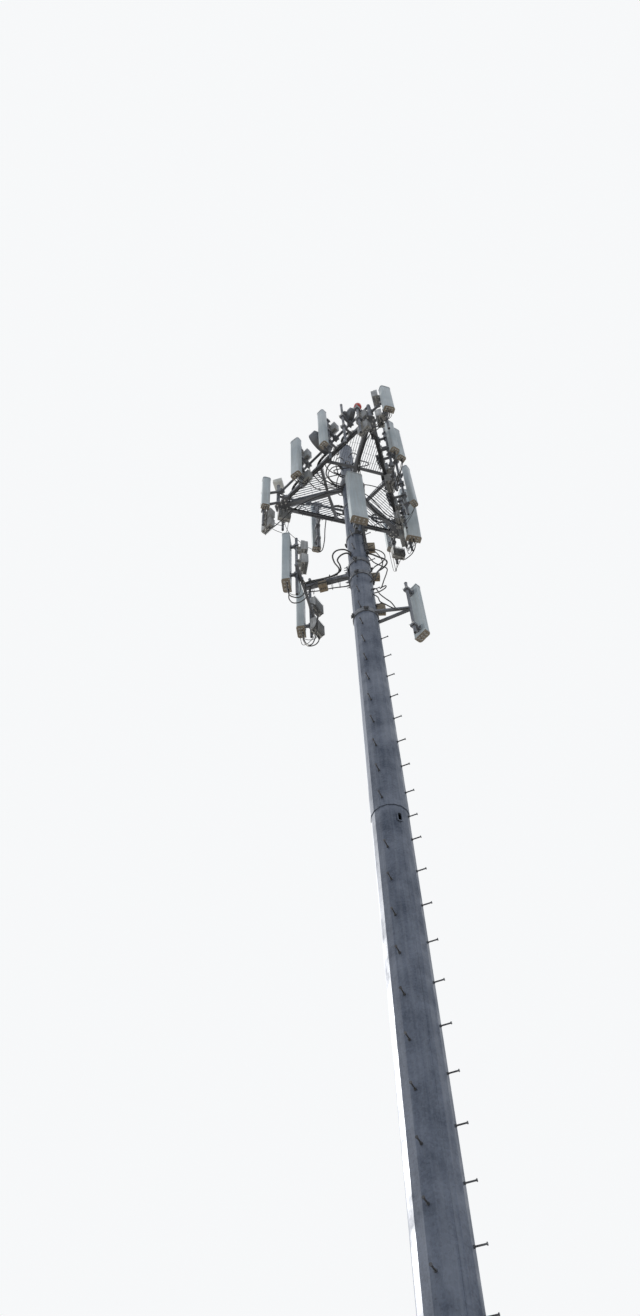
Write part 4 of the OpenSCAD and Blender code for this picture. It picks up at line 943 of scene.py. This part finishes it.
# radios on each face: place along it, offset outwards, rise
radios = {
    "left": [
        (-1.76, 0, -0.89), (-1.76, 0, -0.43), (-0.46, 0, -0.33), (-0.46, 0, 0.96), (0.485, 0, 0.96),
        (1.35, -0.11, -0.33), (1.35, -0.11, 0.33),
    ],
    "right": [
        (-1.6, 0.08, -0.33), (-1.6, 0.08, 0.96), (0, -0.09, -0.33), (0, -0.09, 0.33), (1.0, -0.09, -0.33),
        (1.0, -0.09, 0.33), (0.56, 0.03, 0.96), (1.5, -0.09, -0.33),
    ],
    "far": [(-1.45, 0, -0.79), (-1.45, 0, 0.33), (-0.6, 0, 0.33), (1.4, -0.11, -0.33)],
}
lowRadios = [  # x, y, height, turn
    (-1.2785, -0.26, 20.06, 205), (-1.2785, -0.26, 20.64, 205),
    (-1.2785, 0.80, 18.98, 160), (-1.2785, 0.80, 19.82, 160),
]
radioTrim = {
    "back": -0.08, "core": 0.075, "half": 0.15, "tall": 0.20,
    "handle": 0.006, "handleFoot": 0.004, "handleReach": {-1: 0.018, 1: 0.034}, "handleHalf": (0.125, 0.110),
    "handleRound": 0.006, "across": (-0.112, -0.040, 0.0, 0.040, 0.112), "gland": 0.075,
    "lid": (0.054, 0.007, 0.215), "lidDown": 0.05, "lidScrews": (-0.09, 0.09), "strip": (0.020, 0.304, 0.024),
    "plug": [(0.013, -0.001), (0.013, 0.005), (0.009, 0.007), (0.009, 0.018), (0.0075, 0.022)],
    "glandNut": [(0.0155, 0.008), (0.0165, 0.010), (0.0165, 0.020), (0.015, 0.022)],
    "screw": [(0.005, -0.001), (0.005, 0.001), (0.003, 0.002)],
}


def listRadios():
    found = [onPipe(face, *entry) for face, entries in radios.items() for entry in entries]
    return found + [turned(*entry) for entry in lowRadios]


radioList = listRadios()


def plugPlace(k):
    return Vector((-0.110 if k % 2 else -0.135, radioTrim["across"][k], -radioTrim["tall"]))


def makeRadioTrim(look):
    handles, plugs, covers = newShape(), newShape(), newShape()
    tall, down = look["tall"], (0, 0, -1)
    middle = look["back"] - look["core"] / 2
    for k, radio in enumerate(radioList):
        for end in (-1, 1):
            high = tall + look["handleReach"][end]
            wide, narrow = look["handleHalf"]
            half = [(wide, tall - look["handleFoot"]), (wide, high), (narrow, high + look["handleRound"])]
            half = [(y, end * z) for y, z in half]
            loop = [(-y, z) for y, z in half] + half[::-1]
            addTube(handles, [radio @ Vector((middle, y, z)) for y, z in loop], look["handle"], 8)
        for plug in range(len(look["across"])):
            addTurned(plugs, radio, plugPlace(plug), down, look["plug"], 10)
        for side in (-1, 1):
            at = (look["back"] - look["core"] * 0.6, side * look["gland"], -tall)
            addTurned(plugs, radio, at, down, look["glandNut"], 6, 0.7 * k)
            addBlock(covers, radio, (middle, side * (look["half"] + 0.001), -look["lidDown"]), look["lid"])
            for rise in look["lidScrews"]:
                at = (middle, side * (look["half"] + 0.0045), rise - look["lidDown"])
                addTurned(plugs, radio, at, (0, side, 0), look["screw"], 6)
        for end in (-1, 1):
            at = (look["back"] - look["core"] + 0.003, 0, end * (tall - 0.010))
            addBlock(covers, radio, at, look["strip"], 0.004)
    finishPiece("radio_handles", handles, "bolt_steel")
    finishPiece("radio_connectors", plugs, "bright_fittings")
    finishPiece("radio_covers", covers, "radio")


makeRadioTrim(radioTrim)
print("radios ready:", len(radioList))

# pipe ends: a plastic plug on top, and below a black disc in the open end as painted shade inside the pipe
pipeEnds = {
    "radius": 0.030, "wall": 0.004,
    "kinds": {"antenna": (0.15, 2.40), "radio": (0.03, 1.70), "mast": (0.26, 2.40)},  # rise, length
}
lowPipes = [  # x, y, height of the middle, length
    (-1.2785, -0.26, 19.96, 2.4), (-1.2785, 0.80, 19.96, 2.4), (0.87, 0.0, 17.66, 1.8), (*frontPipe, 2.2),
]


def listPipes(look):
    found = []
    for face, pipes in standing.items():
        for along, offset, kind in pipes:
            rise, tall = look["kinds"][kind]
            found.append((*onPipe(face, along, offset, rise).translation, tall))
    return found + lowPipes


def makePipeEnds(look):
    rims, plugs = newShape(), newShape()
    wide, wall = look["radius"], look["wall"]
    rim = [(wide - wall, 0.003), (wide, 0.003), (wide, -0.006), (wide - 0.001, -0.007), (wide - wall, -0.007)]
    mouthShadeDisc = [(wide - wall, -0.001), (wide - wall, 0.0006), (wide * 0.3, 0.0008)]
    plug = [(wide + 0.003, -0.018), (wide + 0.0035, -0.004), (wide, 0.002), (wide * 0.7, 0.006), (wide * 0.25, 0.008)]
    for x, y, middle, tall in listPipes(look):
        low, high = Vector((x, y, middle - tall / 2)), Vector((x, y, middle + tall / 2))
        addRings(rims, [[low + polar(radius, 15 * j, far) for radius, far in rim] for j in range(24)], True)
        # black disc that closes the open lower end: painted shade inside the pipe
        addLathe(plugs, low, (0, 0, -1), mouthShadeDisc, 16)
        addLathe(plugs, high, (0, 0, 1), plug, 20)
    finishPiece("pipe_rims", rims, "galvanised_steel")
    finishPiece("pipe_plugs_and_end_shade", plugs, "cable_jacket")


makePipeEnds(pipeEnds)

# cable boots where the jumpers meet their sockets: socket point and the next point on the cable
boots = [
    ((-1.455, -0.365, 19.140), (-1.450, -0.365, 18.92)), ((-1.475, -0.205, 19.140), (-1.465, -0.210, 18.92)),
    ((-1.187, 0.687, 19.605), (-1.150, 0.650, 19.47)), ((-1.460, 0.775, 18.980), (-1.430, 0.775, 18.66)),
    ((-1.187, 0.687, 18.765), (-1.200, 0.605, 18.66)), ((-1.135, 0.828, 18.765), (-1.140, 0.835, 18.60)),
    ((-1.474, 0.848, 18.980), (-1.465, 0.848, 18.77)), ((-0.990, -0.645, 24.360), (-1.000, -0.590, 24.02)),
    ((-0.860, -0.720, 24.360), (-0.830, -0.700, 24.02)), ((-1.987, -0.071, 22.520), (-1.975, -0.075, 22.42)),
    ((-1.070, 0.950, 22.750), (-1.060, 0.960, 22.64)), ((1.178, 1.335, 22.750), (1.190, 1.345, 22.47)),
    ((0.795, 1.675, 22.610), (0.880, 1.570, 22.35)), ((1.095, 1.290, 22.750), (1.090, 1.310, 22.54)),
    ((0.965, 1.425, 23.070), (0.970, 1.420, 22.72)), ((1.250, -0.830, 23.060), (1.240, -0.800, 22.84)),
    ((0.965, -0.075, 23.070), (1.000, -0.200, 22.82)), ((1.350, -0.600, 23.060), (1.350, -0.560, 22.86)),
    ((0.965, 0.075, 23.070), (1.000, 0.060, 22.84)), ((1.355, -1.750, 23.215), (1.350, -1.740, 23.00)),
    ((1.135, -1.675, 23.070), (1.150, -1.670, 22.90)), ((-1.050, -0.955, 22.880), (-1.045, -0.945, 22.72)),
    ((-0.862, -0.722, 23.070), (-0.870, -0.750, 22.80)), ((-0.260, -1.415, 23.050), (-0.240, -1.390, 22.82)),
]
bootForms = {
    "sleeve": [(0.0155, -0.022), (0.0185, -0.018), (0.0185, 0.014), (0.0165, 0.018)],
    "boot": [
        (0.0165, 0.012), (0.0195, 0.016), (0.0195, 0.036), (0.0175, 0.044), (0.0175, 0.060), (0.0150, 0.070),
        (0.0135, 0.086), (0.0122, 0.092),
    ],
}


def makeBoots(forms):
    rubber, sleeves = newShape(), newShape()
    for at, after in boots:
        axis = Vector(after) - Vector(at)
        addLathe(rubber, at, axis, forms["boot"], 14)
        addLathe(sleeves, at, axis, forms["sleeve"], 6)
    finishPiece("cable_boots", rubber, "cable_jacket")
    finishPiece("cable_sleeves", sleeves, "bright_fittings")


makeBoots(bootForms)

# thin leads between panels and radios, each seated in a socket at both ends
leads = {"radius": 0.0065, "socket": 0.030, "seat": 0.018, "straight": 0.05}
leadPairs = [  # panel, socket row, socket side, radio, plug, how far the loop hangs
    (0, 1, 1, 1, 0, 0.17), (0, 2, 0, 1, 2, 0.22), (0, 1, -1, 0, 3, 0.13), (0, 2, 1, 0, 1, 0.20),
    (1, 1, 0, 2, 1, 0.15), (1, 2, -1, 2, 3, 0.21), (1, 1, 1, 2, 4, 0.13), (3, 1, 1, 7, 1, 0.17), (3, 2, -1, 7, 3, 0.24),
    (3, 1, -1, 7, 0, 0.14), (4, 1, 0, 9, 0, 0.20), (5, 1, 1, 9, 1, 0.22), (5, 2, 0, 9, 3, 0.16), (6, 1, 1, 11, 0, 0.17),
    (6, 2, 0, 11, 1, 0.24), (7, 1, -1, 14, 3, 0.20), (7, 1, 1, 14, 1, 0.14), (7, 2, 0, 14, 4, 0.26),
    (8, 1, 0, 15, 3, 0.21), (8, 2, 1, 15, 1, 0.16), (10, 1, 1, 18, 2, 0.20), (11, 1, -1, 19, 1, 0.26),
    (12, 1, 1, 21, 1, 0.18), (12, 2, -1, 21, 3, 0.24),
]
radioPairs = [  # radio, plug, radio, plug, how far the loop hangs
    (9, 4, 11, 0, 0.30), (9, 3, 11, 1, 0.24), (11, 3, 14, 1, 0.22), (11, 4, 14, 0, 0.28), (0, 4, 18, 0, 0.16),
    (1, 4, 18, 1, 0.24), (5, 4, 7, 0, 0.26), (5, 3, 7, 1, 0.20), (2, 4, 2, 0, 0.20), (5, 2, 5, 0, 0.18),
    (7, 4, 7, 2, 0.20), (14, 4, 14, 2, 0.22), (9, 2, 9, 0, 0.18), (15, 4, 15, 1, 0.20), (21, 0, 21, 2, 0.14),
    (19, 1, 19, 4, 0.16),
]


def panelSocket(number, row, side):
    panel = panelList[number]
    at = (panel["deep"] * row / 3, side * panel["wide"] / 4, -panel["tall"] / 2 - leads["socket"])
    return panel["shell"] @ Vector(at)


def radioSocket(number, plug):
    return radioList[number] @ plugPlace(plug) - Vector((0, 0, leads["seat"]))


def makeLeads(look):
    shape = newShape()
    runs = [(panelSocket(*pair[:3]), radioSocket(*pair[3:5]), pair[5]) for pair in leadPairs]
    runs += [(radioSocket(*pair[:2]), radioSocket(*pair[2:4]), pair[4]) for pair in radioPairs]
    straight = Vector((0, 0, look["straight"]))
    for start, end, hang in runs:
        low = min(start.z, end.z) - hang
        sag = ((0.12, 0.35), (0.45, 0.0), (0.85, 0.30))  # share of the way, share of the hang
        loop = [Vector((*start.lerp(end, way).xy, low + hang * share)) for way, share in sag]
        addTube(shape, smoothPath([start, start - straight, *loop, end - straight, end], 5), look["radius"], 7)
    finishPiece("thin_leads", shape, "cable_jacket")


makeLeads(leads)

# spare cable wound into rings and strapped to the rails, with both tails seated in the beam below
coils = {  # place along the face, size of the ring
    "left": [(-0.94, 0.21), (-0.02, 0.24), (0.73, 0.17)],
    "right": [(-1.07, 0.20), (-0.24, 0.17), (0.30, 0.19), (0.79, 0.16)],
    "far": [(-1.0, 0.20), (0.0, 0.22), (0.93, 0.18)],
}
coilForm = {
    "turns": 3, "steps": 18, "radius": 0.010, "out": 0.845, "pitch": 0.021, "gap": 0.028, "tail": 0.15,
    "strap": 0.0035, "strapSides": (-0.035, 0.035), "strapSize": (0.088, 0.052),
}


def makeCoils(look):
    shape, straps = newShape(), newShape()
    steps, (strapWide, strapTall) = look["steps"], look["strapSize"]
    for face, entries in coils.items():
        for along, size in entries:
            middle = levels["rail"] - look["gap"] - size
            place = onFace(face, 0, along, middle)
            beamTop = levels["platform"] + 0.05 - middle
            tail = [(0.88, 0.7 * look["tail"], beamTop + 0.10)]
            tail += [(0.925, look["tail"], beamTop + rise) for rise in (0.05, -0.03)]
            points = [(x, -y, z) for x, y, z in reversed(tail)]
            for k in range(1, look["turns"] * steps):
                ring = polar(size + wobble(k * 0.37, 0.004), 360 / steps * k - 90)
                points.append((look["out"] - look["pitch"] * k / steps, ring.x, ring.y))
            addTube(shape, smoothPath(moved(place, points + tail), 2), look["radius"], 7)
            for side in look["strapSides"]:
                loop = []
                for k in range(14):
                    ring = polar(1, 360 / 14 * k)
                    rise = size + look["gap"] * 0.5 + strapTall * ring.y
                    loop.append(place @ Vector((0.868 + strapWide * ring.x, side, rise)))
                addTube(straps, loop, look["strap"], 6, True)
    finishPiece("spare_coils", shape, "cable_jacket")
    finishPiece("coil_straps", straps, "cable_jacket")


makeCoils(coilForm)

# cables that run under the side beams, tied up, and turn into the channel at both ends
beamRuns = {
    "rows": {"left": (0, 2), "right": (0, 1, 2), "far": (1,)}, "outs": (0.872, 0.896, 0.922),
    "reach": (1.16, 1.02, 1.10), "low": -0.062, "radius": 0.011, "tie": 0.0035,
    "ends": [(0.838, 0.06, -0.070), (0.826, 0.10, -0.030), (0.850, 0.13, -0.008), (0.932, 0.14, 0.0)],
    "ties": (-0.92, -0.56, -0.18, 0.20, 0.58, 0.94),
    "tieLoop": [
        (0.852, -0.078), (0.90, -0.084), (0.950, -0.076), (0.9535, -0.02), (0.9535, 0.04), (0.93, 0.0535),
        (0.88, 0.0535), (0.851, 0.04), (0.849, -0.02),
    ],
}


def makeBeamRuns(look):
    shape, ties = newShape(), newShape()
    for face in faceTurns:
        place = onFace(face, 0, 0, levels["platform"])
        for row in look["rows"][face]:
            out, reach = look["outs"][row], look["reach"][row]
            points = [(x, -reach - y, z) for x, y, z in reversed(look["ends"])]
            for k in range(17):
                points.append((out + wobble(k + row, 0.002), reach * (k / 8 - 1), look["low"] - 0.012 * (k % 2)))
            points += [(x, reach + y, z) for x, y, z in look["ends"]]
            addTube(shape, smoothPath(moved(place, points), 3), look["radius"], 7)
        for along in look["ties"]:
            loop = [onFace(face, x, along, levels["platform"] + z).translation for x, z in look["tieLoop"]]
            addTube(ties, loop, look["tie"], 6, True)
    finishPiece("beam_cables", shape, "cable_jacket")
    finishPiece("beam_ties", ties, "cable_jacket")


makeBeamRuns(beamRuns)

# risers: out of the right upper port, up the shaft, over the bands and out under the arms to the corner radios
risers = {
    "turn": -30.7, "port": 19.93, "high": 23.36, "step": 0.28, "clear": 0.020, "radius": 0.012,
    "saddle": 0.005, "saddles": (20.35, 21.35, 21.95, 22.95), "screwSide": 0.064, "nut": 0.010,
}
riserEnds = [  # place across the flat, then points from the collar to a radio's plug, and that plug
    (-0.030, [
        (0.285, -0.215, 23.470), (0.300, -0.400, 23.548), (0.392, -0.660, 23.550), (0.512, -0.870, 23.549),
        (0.640, -1.090, 23.545), (0.800, -1.330, 23.440), (0.980, -1.480, 23.160)], (7, 3)),
    (0.0, [
        (0.315, -0.185, 23.455), (0.345, -0.400, 23.548), (0.425, -0.655, 23.552), (0.545, -0.865, 23.550),
        (0.676, -1.075, 23.545), (0.850, -1.290, 23.400), (1.010, -1.440, 23.120)], (7, 1)),
    (0.030, [
        (0.318, -0.140, 23.440), (0.330, 0.060, 23.500), (0.300, 0.330, 23.548), (0.392, 0.660, 23.550),
        (0.512, 0.870, 23.549), (0.640, 0.990, 23.520), (0.800, 1.000, 23.300)], (11, 2)),
]


def onFlat(turn, height, clear, across):
    return polar(shaftWidth(height) / 2 + clear, turn, height) + polar(across, turn + 90)


def makeRisers(look):
    shape, saddles = newShape(), newShape()
    turn, port = look["turn"], look["port"]
    for across, path, plug in riserEnds:
        points = [onFlat(turn, port + 0.02, -0.030, across * 0.5), onFlat(turn, port + 0.04, 0.060, across * 0.8)]
        height = port + 0.22
        while height < look["high"]:
            clear = look["clear"] + 0.016 + wobble(height * 3, 0.0012)
            points.append(onFlat(turn, height, clear, across + wobble(height + across * 40, 0.002)))
            height += look["step"]
        end = radioSocket(*plug)
        points += [Vector(point) for point in path] + [end - Vector((0, 0, 0.10 - leads["seat"])), end]
        addTube(shape, smoothPath(points, 4), look["radius"], 8)
    back, front = look["clear"] - 0.022, look["clear"] + 0.030
    half = [(back, 0.056), (front * 0.7, 0.052), (front, 0.040)]
    arch = [(out, -across) for out, across in half] + [(front + 0.002, 0.0)] + half[::-1]
    for height in look["saddles"]:  # saddles screwed to the shaft
        addTube(saddles, [onFlat(turn, height, out, across) for out, across in arch], look["saddle"], 6)
        for across in (-look["screwSide"], look["screwSide"]):
            place = turned(*onFlat(turn, height, 0.0, across), turn)
            addNut(saddles, place, (-0.006, 0, 0), (1, 0, 0), look["nut"])
    finishPiece("risers", shape, "cable_jacket")
    finishPiece("riser_saddles", saddles, "bolt_steel")


makeRisers(risers)

# loops above the platform: out of the shaft and back into it lower down, with a grommet at each end
topLoops = [  # turn and height where it leaves, reach and turn of its furthest point, turn and height of its end
    (200, 25.05, 0.60, 216, 236, 23.90), (214, 24.74, 0.50, 200, 192, 23.88), (184, 24.50, 0.66, 188, 176, 23.86),
    (252, 24.95, 0.42, 240, 218, 24.10), (302, 25.10, 0.46, 322, 332, 23.90), (328, 24.70, 0.54, 346, 2, 23.88),
    (272, 24.62, 0.36, 288, 306, 23.90), (150, 24.90, 0.52, 138, 120, 23.90), (66, 24.85, 0.48, 50, 38, 23.88),
]
loopForm = {"radius": 0.013, "grommet": [(0.024, 0), (0.024, 0.012), (0.020, 0.018), (0.014, 0.026)]}


def makeTopLoops(look):
    shape, grommets = newShape(), newShape()
    for leave, high, reach, middle, enter, low in topLoops:
        outHigh, outLow = shaftWidth(high) / 2, shaftWidth(low) / 2
        drop = high - low
        points = [
            polar(outHigh - 0.012, leave, high), polar(outHigh + 0.055, leave, high + 0.004),
            polar(reach * 0.78, (leave + middle) / 2, high - drop * 0.10), polar(reach, middle, high - drop * 0.45),
            polar(reach * 0.86, (middle * 2 + enter) / 3, low + drop * 0.16),
            polar(outLow + 0.075, enter, low + 0.012), polar(outLow - 0.012, enter, low),
        ]
        addTube(shape, smoothPath(points, 7), look["radius"], 8)
        for turn, height, out in ((leave, high, outHigh), (enter, low, outLow)):
            addLathe(grommets, polar(out - 0.006, turn, height), polar(1, turn), look["grommet"], 14)
    finishPiece("shaft_loops", shape, "cable_jacket")
    finishPiece("shaft_grommets", grommets, "cable_jacket")


makeTopLoops(loopForm)

# straps that hold the cables to the lower left arm
armStraps = {
    "places": (-0.46, -0.62, -1.02), "middle": (-0.005, 19.345), "half": (0.145, 0.165), "fit": 0.94, "square": 0.45,
    "radius": 0.005, "buckle": (0.016, 0.014, 0.022),
}


def makeArmStraps(look):
    shape = newShape()
    (y, z), (wide, tall) = look["middle"], look["half"]
    for x in look["places"]:
        loop = []
        for k in range(24):
            angle = 2 * math.pi * k / 24
            ring = polar(1, 15 * k)
            ring *= look["fit"] / max(abs(ring.x), abs(ring.y)) ** look["square"]
            loop.append((x + 0.004 * math.sin(3 * angle), y + wide * ring.x, z + tall * ring.y))
        addTube(shape, loop, look["radius"], 6, True)
        addBlock(shape, Matrix.Translation((x, y - wide, z + 0.02)), (0, 0, 0), look["buckle"])
    finishPiece("arm_straps", shape, "cable_jacket")


makeArmStraps(armStraps)
print("cable details ready")

# dishes: rim, back ribs and the bolts of the hub
dishes = [  # place along the left face, rise, turn, width, depth
    (0.485, 0.41, -90, 0.62, 0.24), (0.975, 0.90, 150, 0.35, 0.175),
]
dishTrim = {
    "gap": 0.108, "sides": 72, "spokes": 8, "rib": 0.006, "hub": 0.052, "nut": 0.008,
    "latch": (0.036, 0.020, 0.010), "latchTurns": (45, 135, 225, 315),
    "rim": [  # beyond the dish's radius and its front
        (-0.004, -0.030), (0.004, -0.028), (0.005, -0.010), (0.002, 0.001), (-0.012, 0.003), (-0.014, 0.0005),
    ],
    "crown": {"start": (-0.016, -0.001), "inset": 0.014, "proud": 0.002, "bulge": 0.003, "step": 0.26},
}


def makeDishTrim(look):
    shape, screws = newShape(), newShape()
    for along, rise, turn, wide, deep in dishes:
        half = wide / 2
        place = onPipe("left", along, 0.0, rise, turn) @ Matrix.Translation((look["gap"], 0, 0))
        rim = [(half + out, deep + far) for out, far in look["rim"]]
        form = look["crown"]
        crown = [(half + form["start"][0], deep + form["start"][1])]
        for step in range(1, 6):
            angle = step * form["step"]
            rise = form["bulge"] * math.sin(angle) + form["proud"]
            crown.append((half * math.cos(angle) - form["inset"], deep + rise))
        for profile in (rim, crown):
            addTurned(shape, place, (0, 0, 0), (1, 0, 0), profile, look["sides"])
        for k in range(look["spokes"]):
            spoke = place @ rotation(360 / look["spokes"] * (k + 0.5), "X")
            line = [(deep / 3 * share - 0.001, 0, half / 2 * (1 + share)) for share in (0.02, 0.35, 0.7, 0.98)]
            addTube(shape, moved(spoke, line), look["rib"], 6)
            addNut(screws, spoke, (-0.004, 0, look["hub"]), (-1, 0, 0), look["nut"])
        for corner in look["latchTurns"]:
            addBlock(screws, place @ rotation(corner, "X"), (deep - 0.02, 0, half + 0.002), look["latch"], 0.002)
    finishPiece("dish_rims", shape, "dish_plastic")
    finishPiece("dish_bolts", screws, "bolt_steel")


makeDishTrim(dishTrim)

# obstruction light: a fluted red lens on a round base
beacon = {
    "along": 1.27, "foot": 0.028, "nuts": 6, "nut": 0.006, "nutAt": (0.040, 0, 0.465),
    "shoe": (0.075, 0.075, 0.014), "lensFoot": 0.486, "flutes": 30, "flute": 0.0016, "flat": 0.06,
    "body": [
        (0.030, 0.0), (0.030, 0.010), (0.017, 0.022), (0.017, 0.420), (0.026, 0.435), (0.044, 0.458),
        (0.050, 0.468), (0.050, 0.488), (0.044, 0.492),
    ],
    "lens": [
        (0.040, 0.0), (0.060, 0.003), (0.078, 0.012), (0.089, 0.026), (0.093, 0.042), (0.0935, 0.060), (0.088, 0.064),
        (0.093, 0.070), (0.0925, 0.086), (0.087, 0.090), (0.091, 0.096), (0.088, 0.116), (0.081, 0.136),
        (0.069, 0.156), (0.052, 0.174), (0.032, 0.189), (0.010, 0.198),
    ],
}


def makeBeaconBody(look, origin):
    shape = newShape()
    addLathe(shape, origin, (0, 0, 1), look["body"], 40)
    for k in range(look["nuts"]):
        addNut(shape, turned(*origin, 360 / look["nuts"] * k), look["nutAt"], (0, 0, -1), look["nut"])
    addBlock(shape, turned(*origin, 60), (0, 0, -0.004), look["shoe"], 0.004)
    finishPiece("beacon_body", shape, "galvanised_steel")


def makeBeaconLens(look, origin):
    shape = newShape()
    count = look["flutes"] * 4
    rings = []
    for radius, far in look["lens"]:
        depth = look["flute"] * min(1.0, radius / look["flat"])
        ring = []
        for j in range(count):
            turn = 360 / count * j
            reach = radius - depth * (1 + math.cos(math.radians(look["flutes"] * turn)))
            ring.append(origin + polar(reach, turn, look["lensFoot"] + far))
        rings.append(ring)
    addRings(shape, rings)
    piece = finishPiece("beacon_lens", shape, "red_lens", sharp=60)
    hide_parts("obstruction_light")


beaconFoot = onFace("left", platform["railN"], beacon["along"], levels["rail"] + beacon["foot"]).translation
makeBeaconBody(beacon, beaconFoot)
makeBeaconLens(beacon, beaconFoot)

# junction boxes: lids with screws, and cable glands; the last box hangs on the lower left arm
boxes = [(20.50, 0.26), (19.23, 0.16), (17.95, 0.26)]  # level, height
armBox = (-0.795, 0, 19.265)
boxTrim = {
    "turn": shaftForm["turn"] + 22.5, "wide": 0.120, "deep": 0.170, "armSize": 0.17, "lid": 0.006,
    "lidForward": 0.004, "lidLess": (0.022, 0.020), "screwAt": (0.42, 0.4032), "glands": (-0.045, 0.0, 0.045),
    "screw": [(0.0055, -0.001), (0.0055, 0.002), (0.003, 0.003)],
    "gland": [(0.015, -0.001), (0.015, 0.004), (0.013, 0.005), (0.013, 0.016)],
    "glandEnd": [(0.010, 0.015), (0.0105, 0.020), (0.008, 0.026), (0.006, 0.028)],
}


def makeBoxTrim(look):
    lids, glands = newShape(), newShape()
    places = []
    for height, tall in boxes:
        out = shaftWidth(height) / 2 + look["deep"] / 2
        places.append((rotation(look["turn"]) @ Matrix.Translation((out, 0, height)), look["deep"], look["wide"], tall))
    places.append((Matrix.Translation(armBox), look["armSize"], look["armSize"], look["armSize"]))
    (lessDeep, lessTall), (screwAlong, screwUp), forward = look["lidLess"], look["screwAt"], look["lidForward"]
    for place, deep, wide, tall in places:
        lidDeep, lidTall = deep - lessDeep, tall - lessTall
        for side in (-1, 1):
            at = (forward, side * (wide / 2 + look["lid"] / 2 - 0.001), 0)
            addBlock(lids, place, at, (lidDeep, look["lid"] + 0.002, lidTall), 0.0025)
            for rise, along in fourWays:
                x, y = forward + along * screwAlong * lidDeep, side * (wide / 2 + look["lid"])
                addTurned(glands, place, (x, y, rise * screwUp * lidTall), (0, side, 0), look["screw"], 8)
        for along in look["glands"]:
            addTurned(glands, place, (along, 0, -tall / 2), (0, 0, -1), look["gland"], 6)
            addTurned(glands, place, (along, 0, -tall / 2), (0, 0, -1), look["glandEnd"], 10)
    finishPiece("box_lids", lids, "box_paint")
    finishPiece("box_glands", glands, "bolt_steel")


makeBoxTrim(boxTrim)
print("dishes, light and boxes ready")
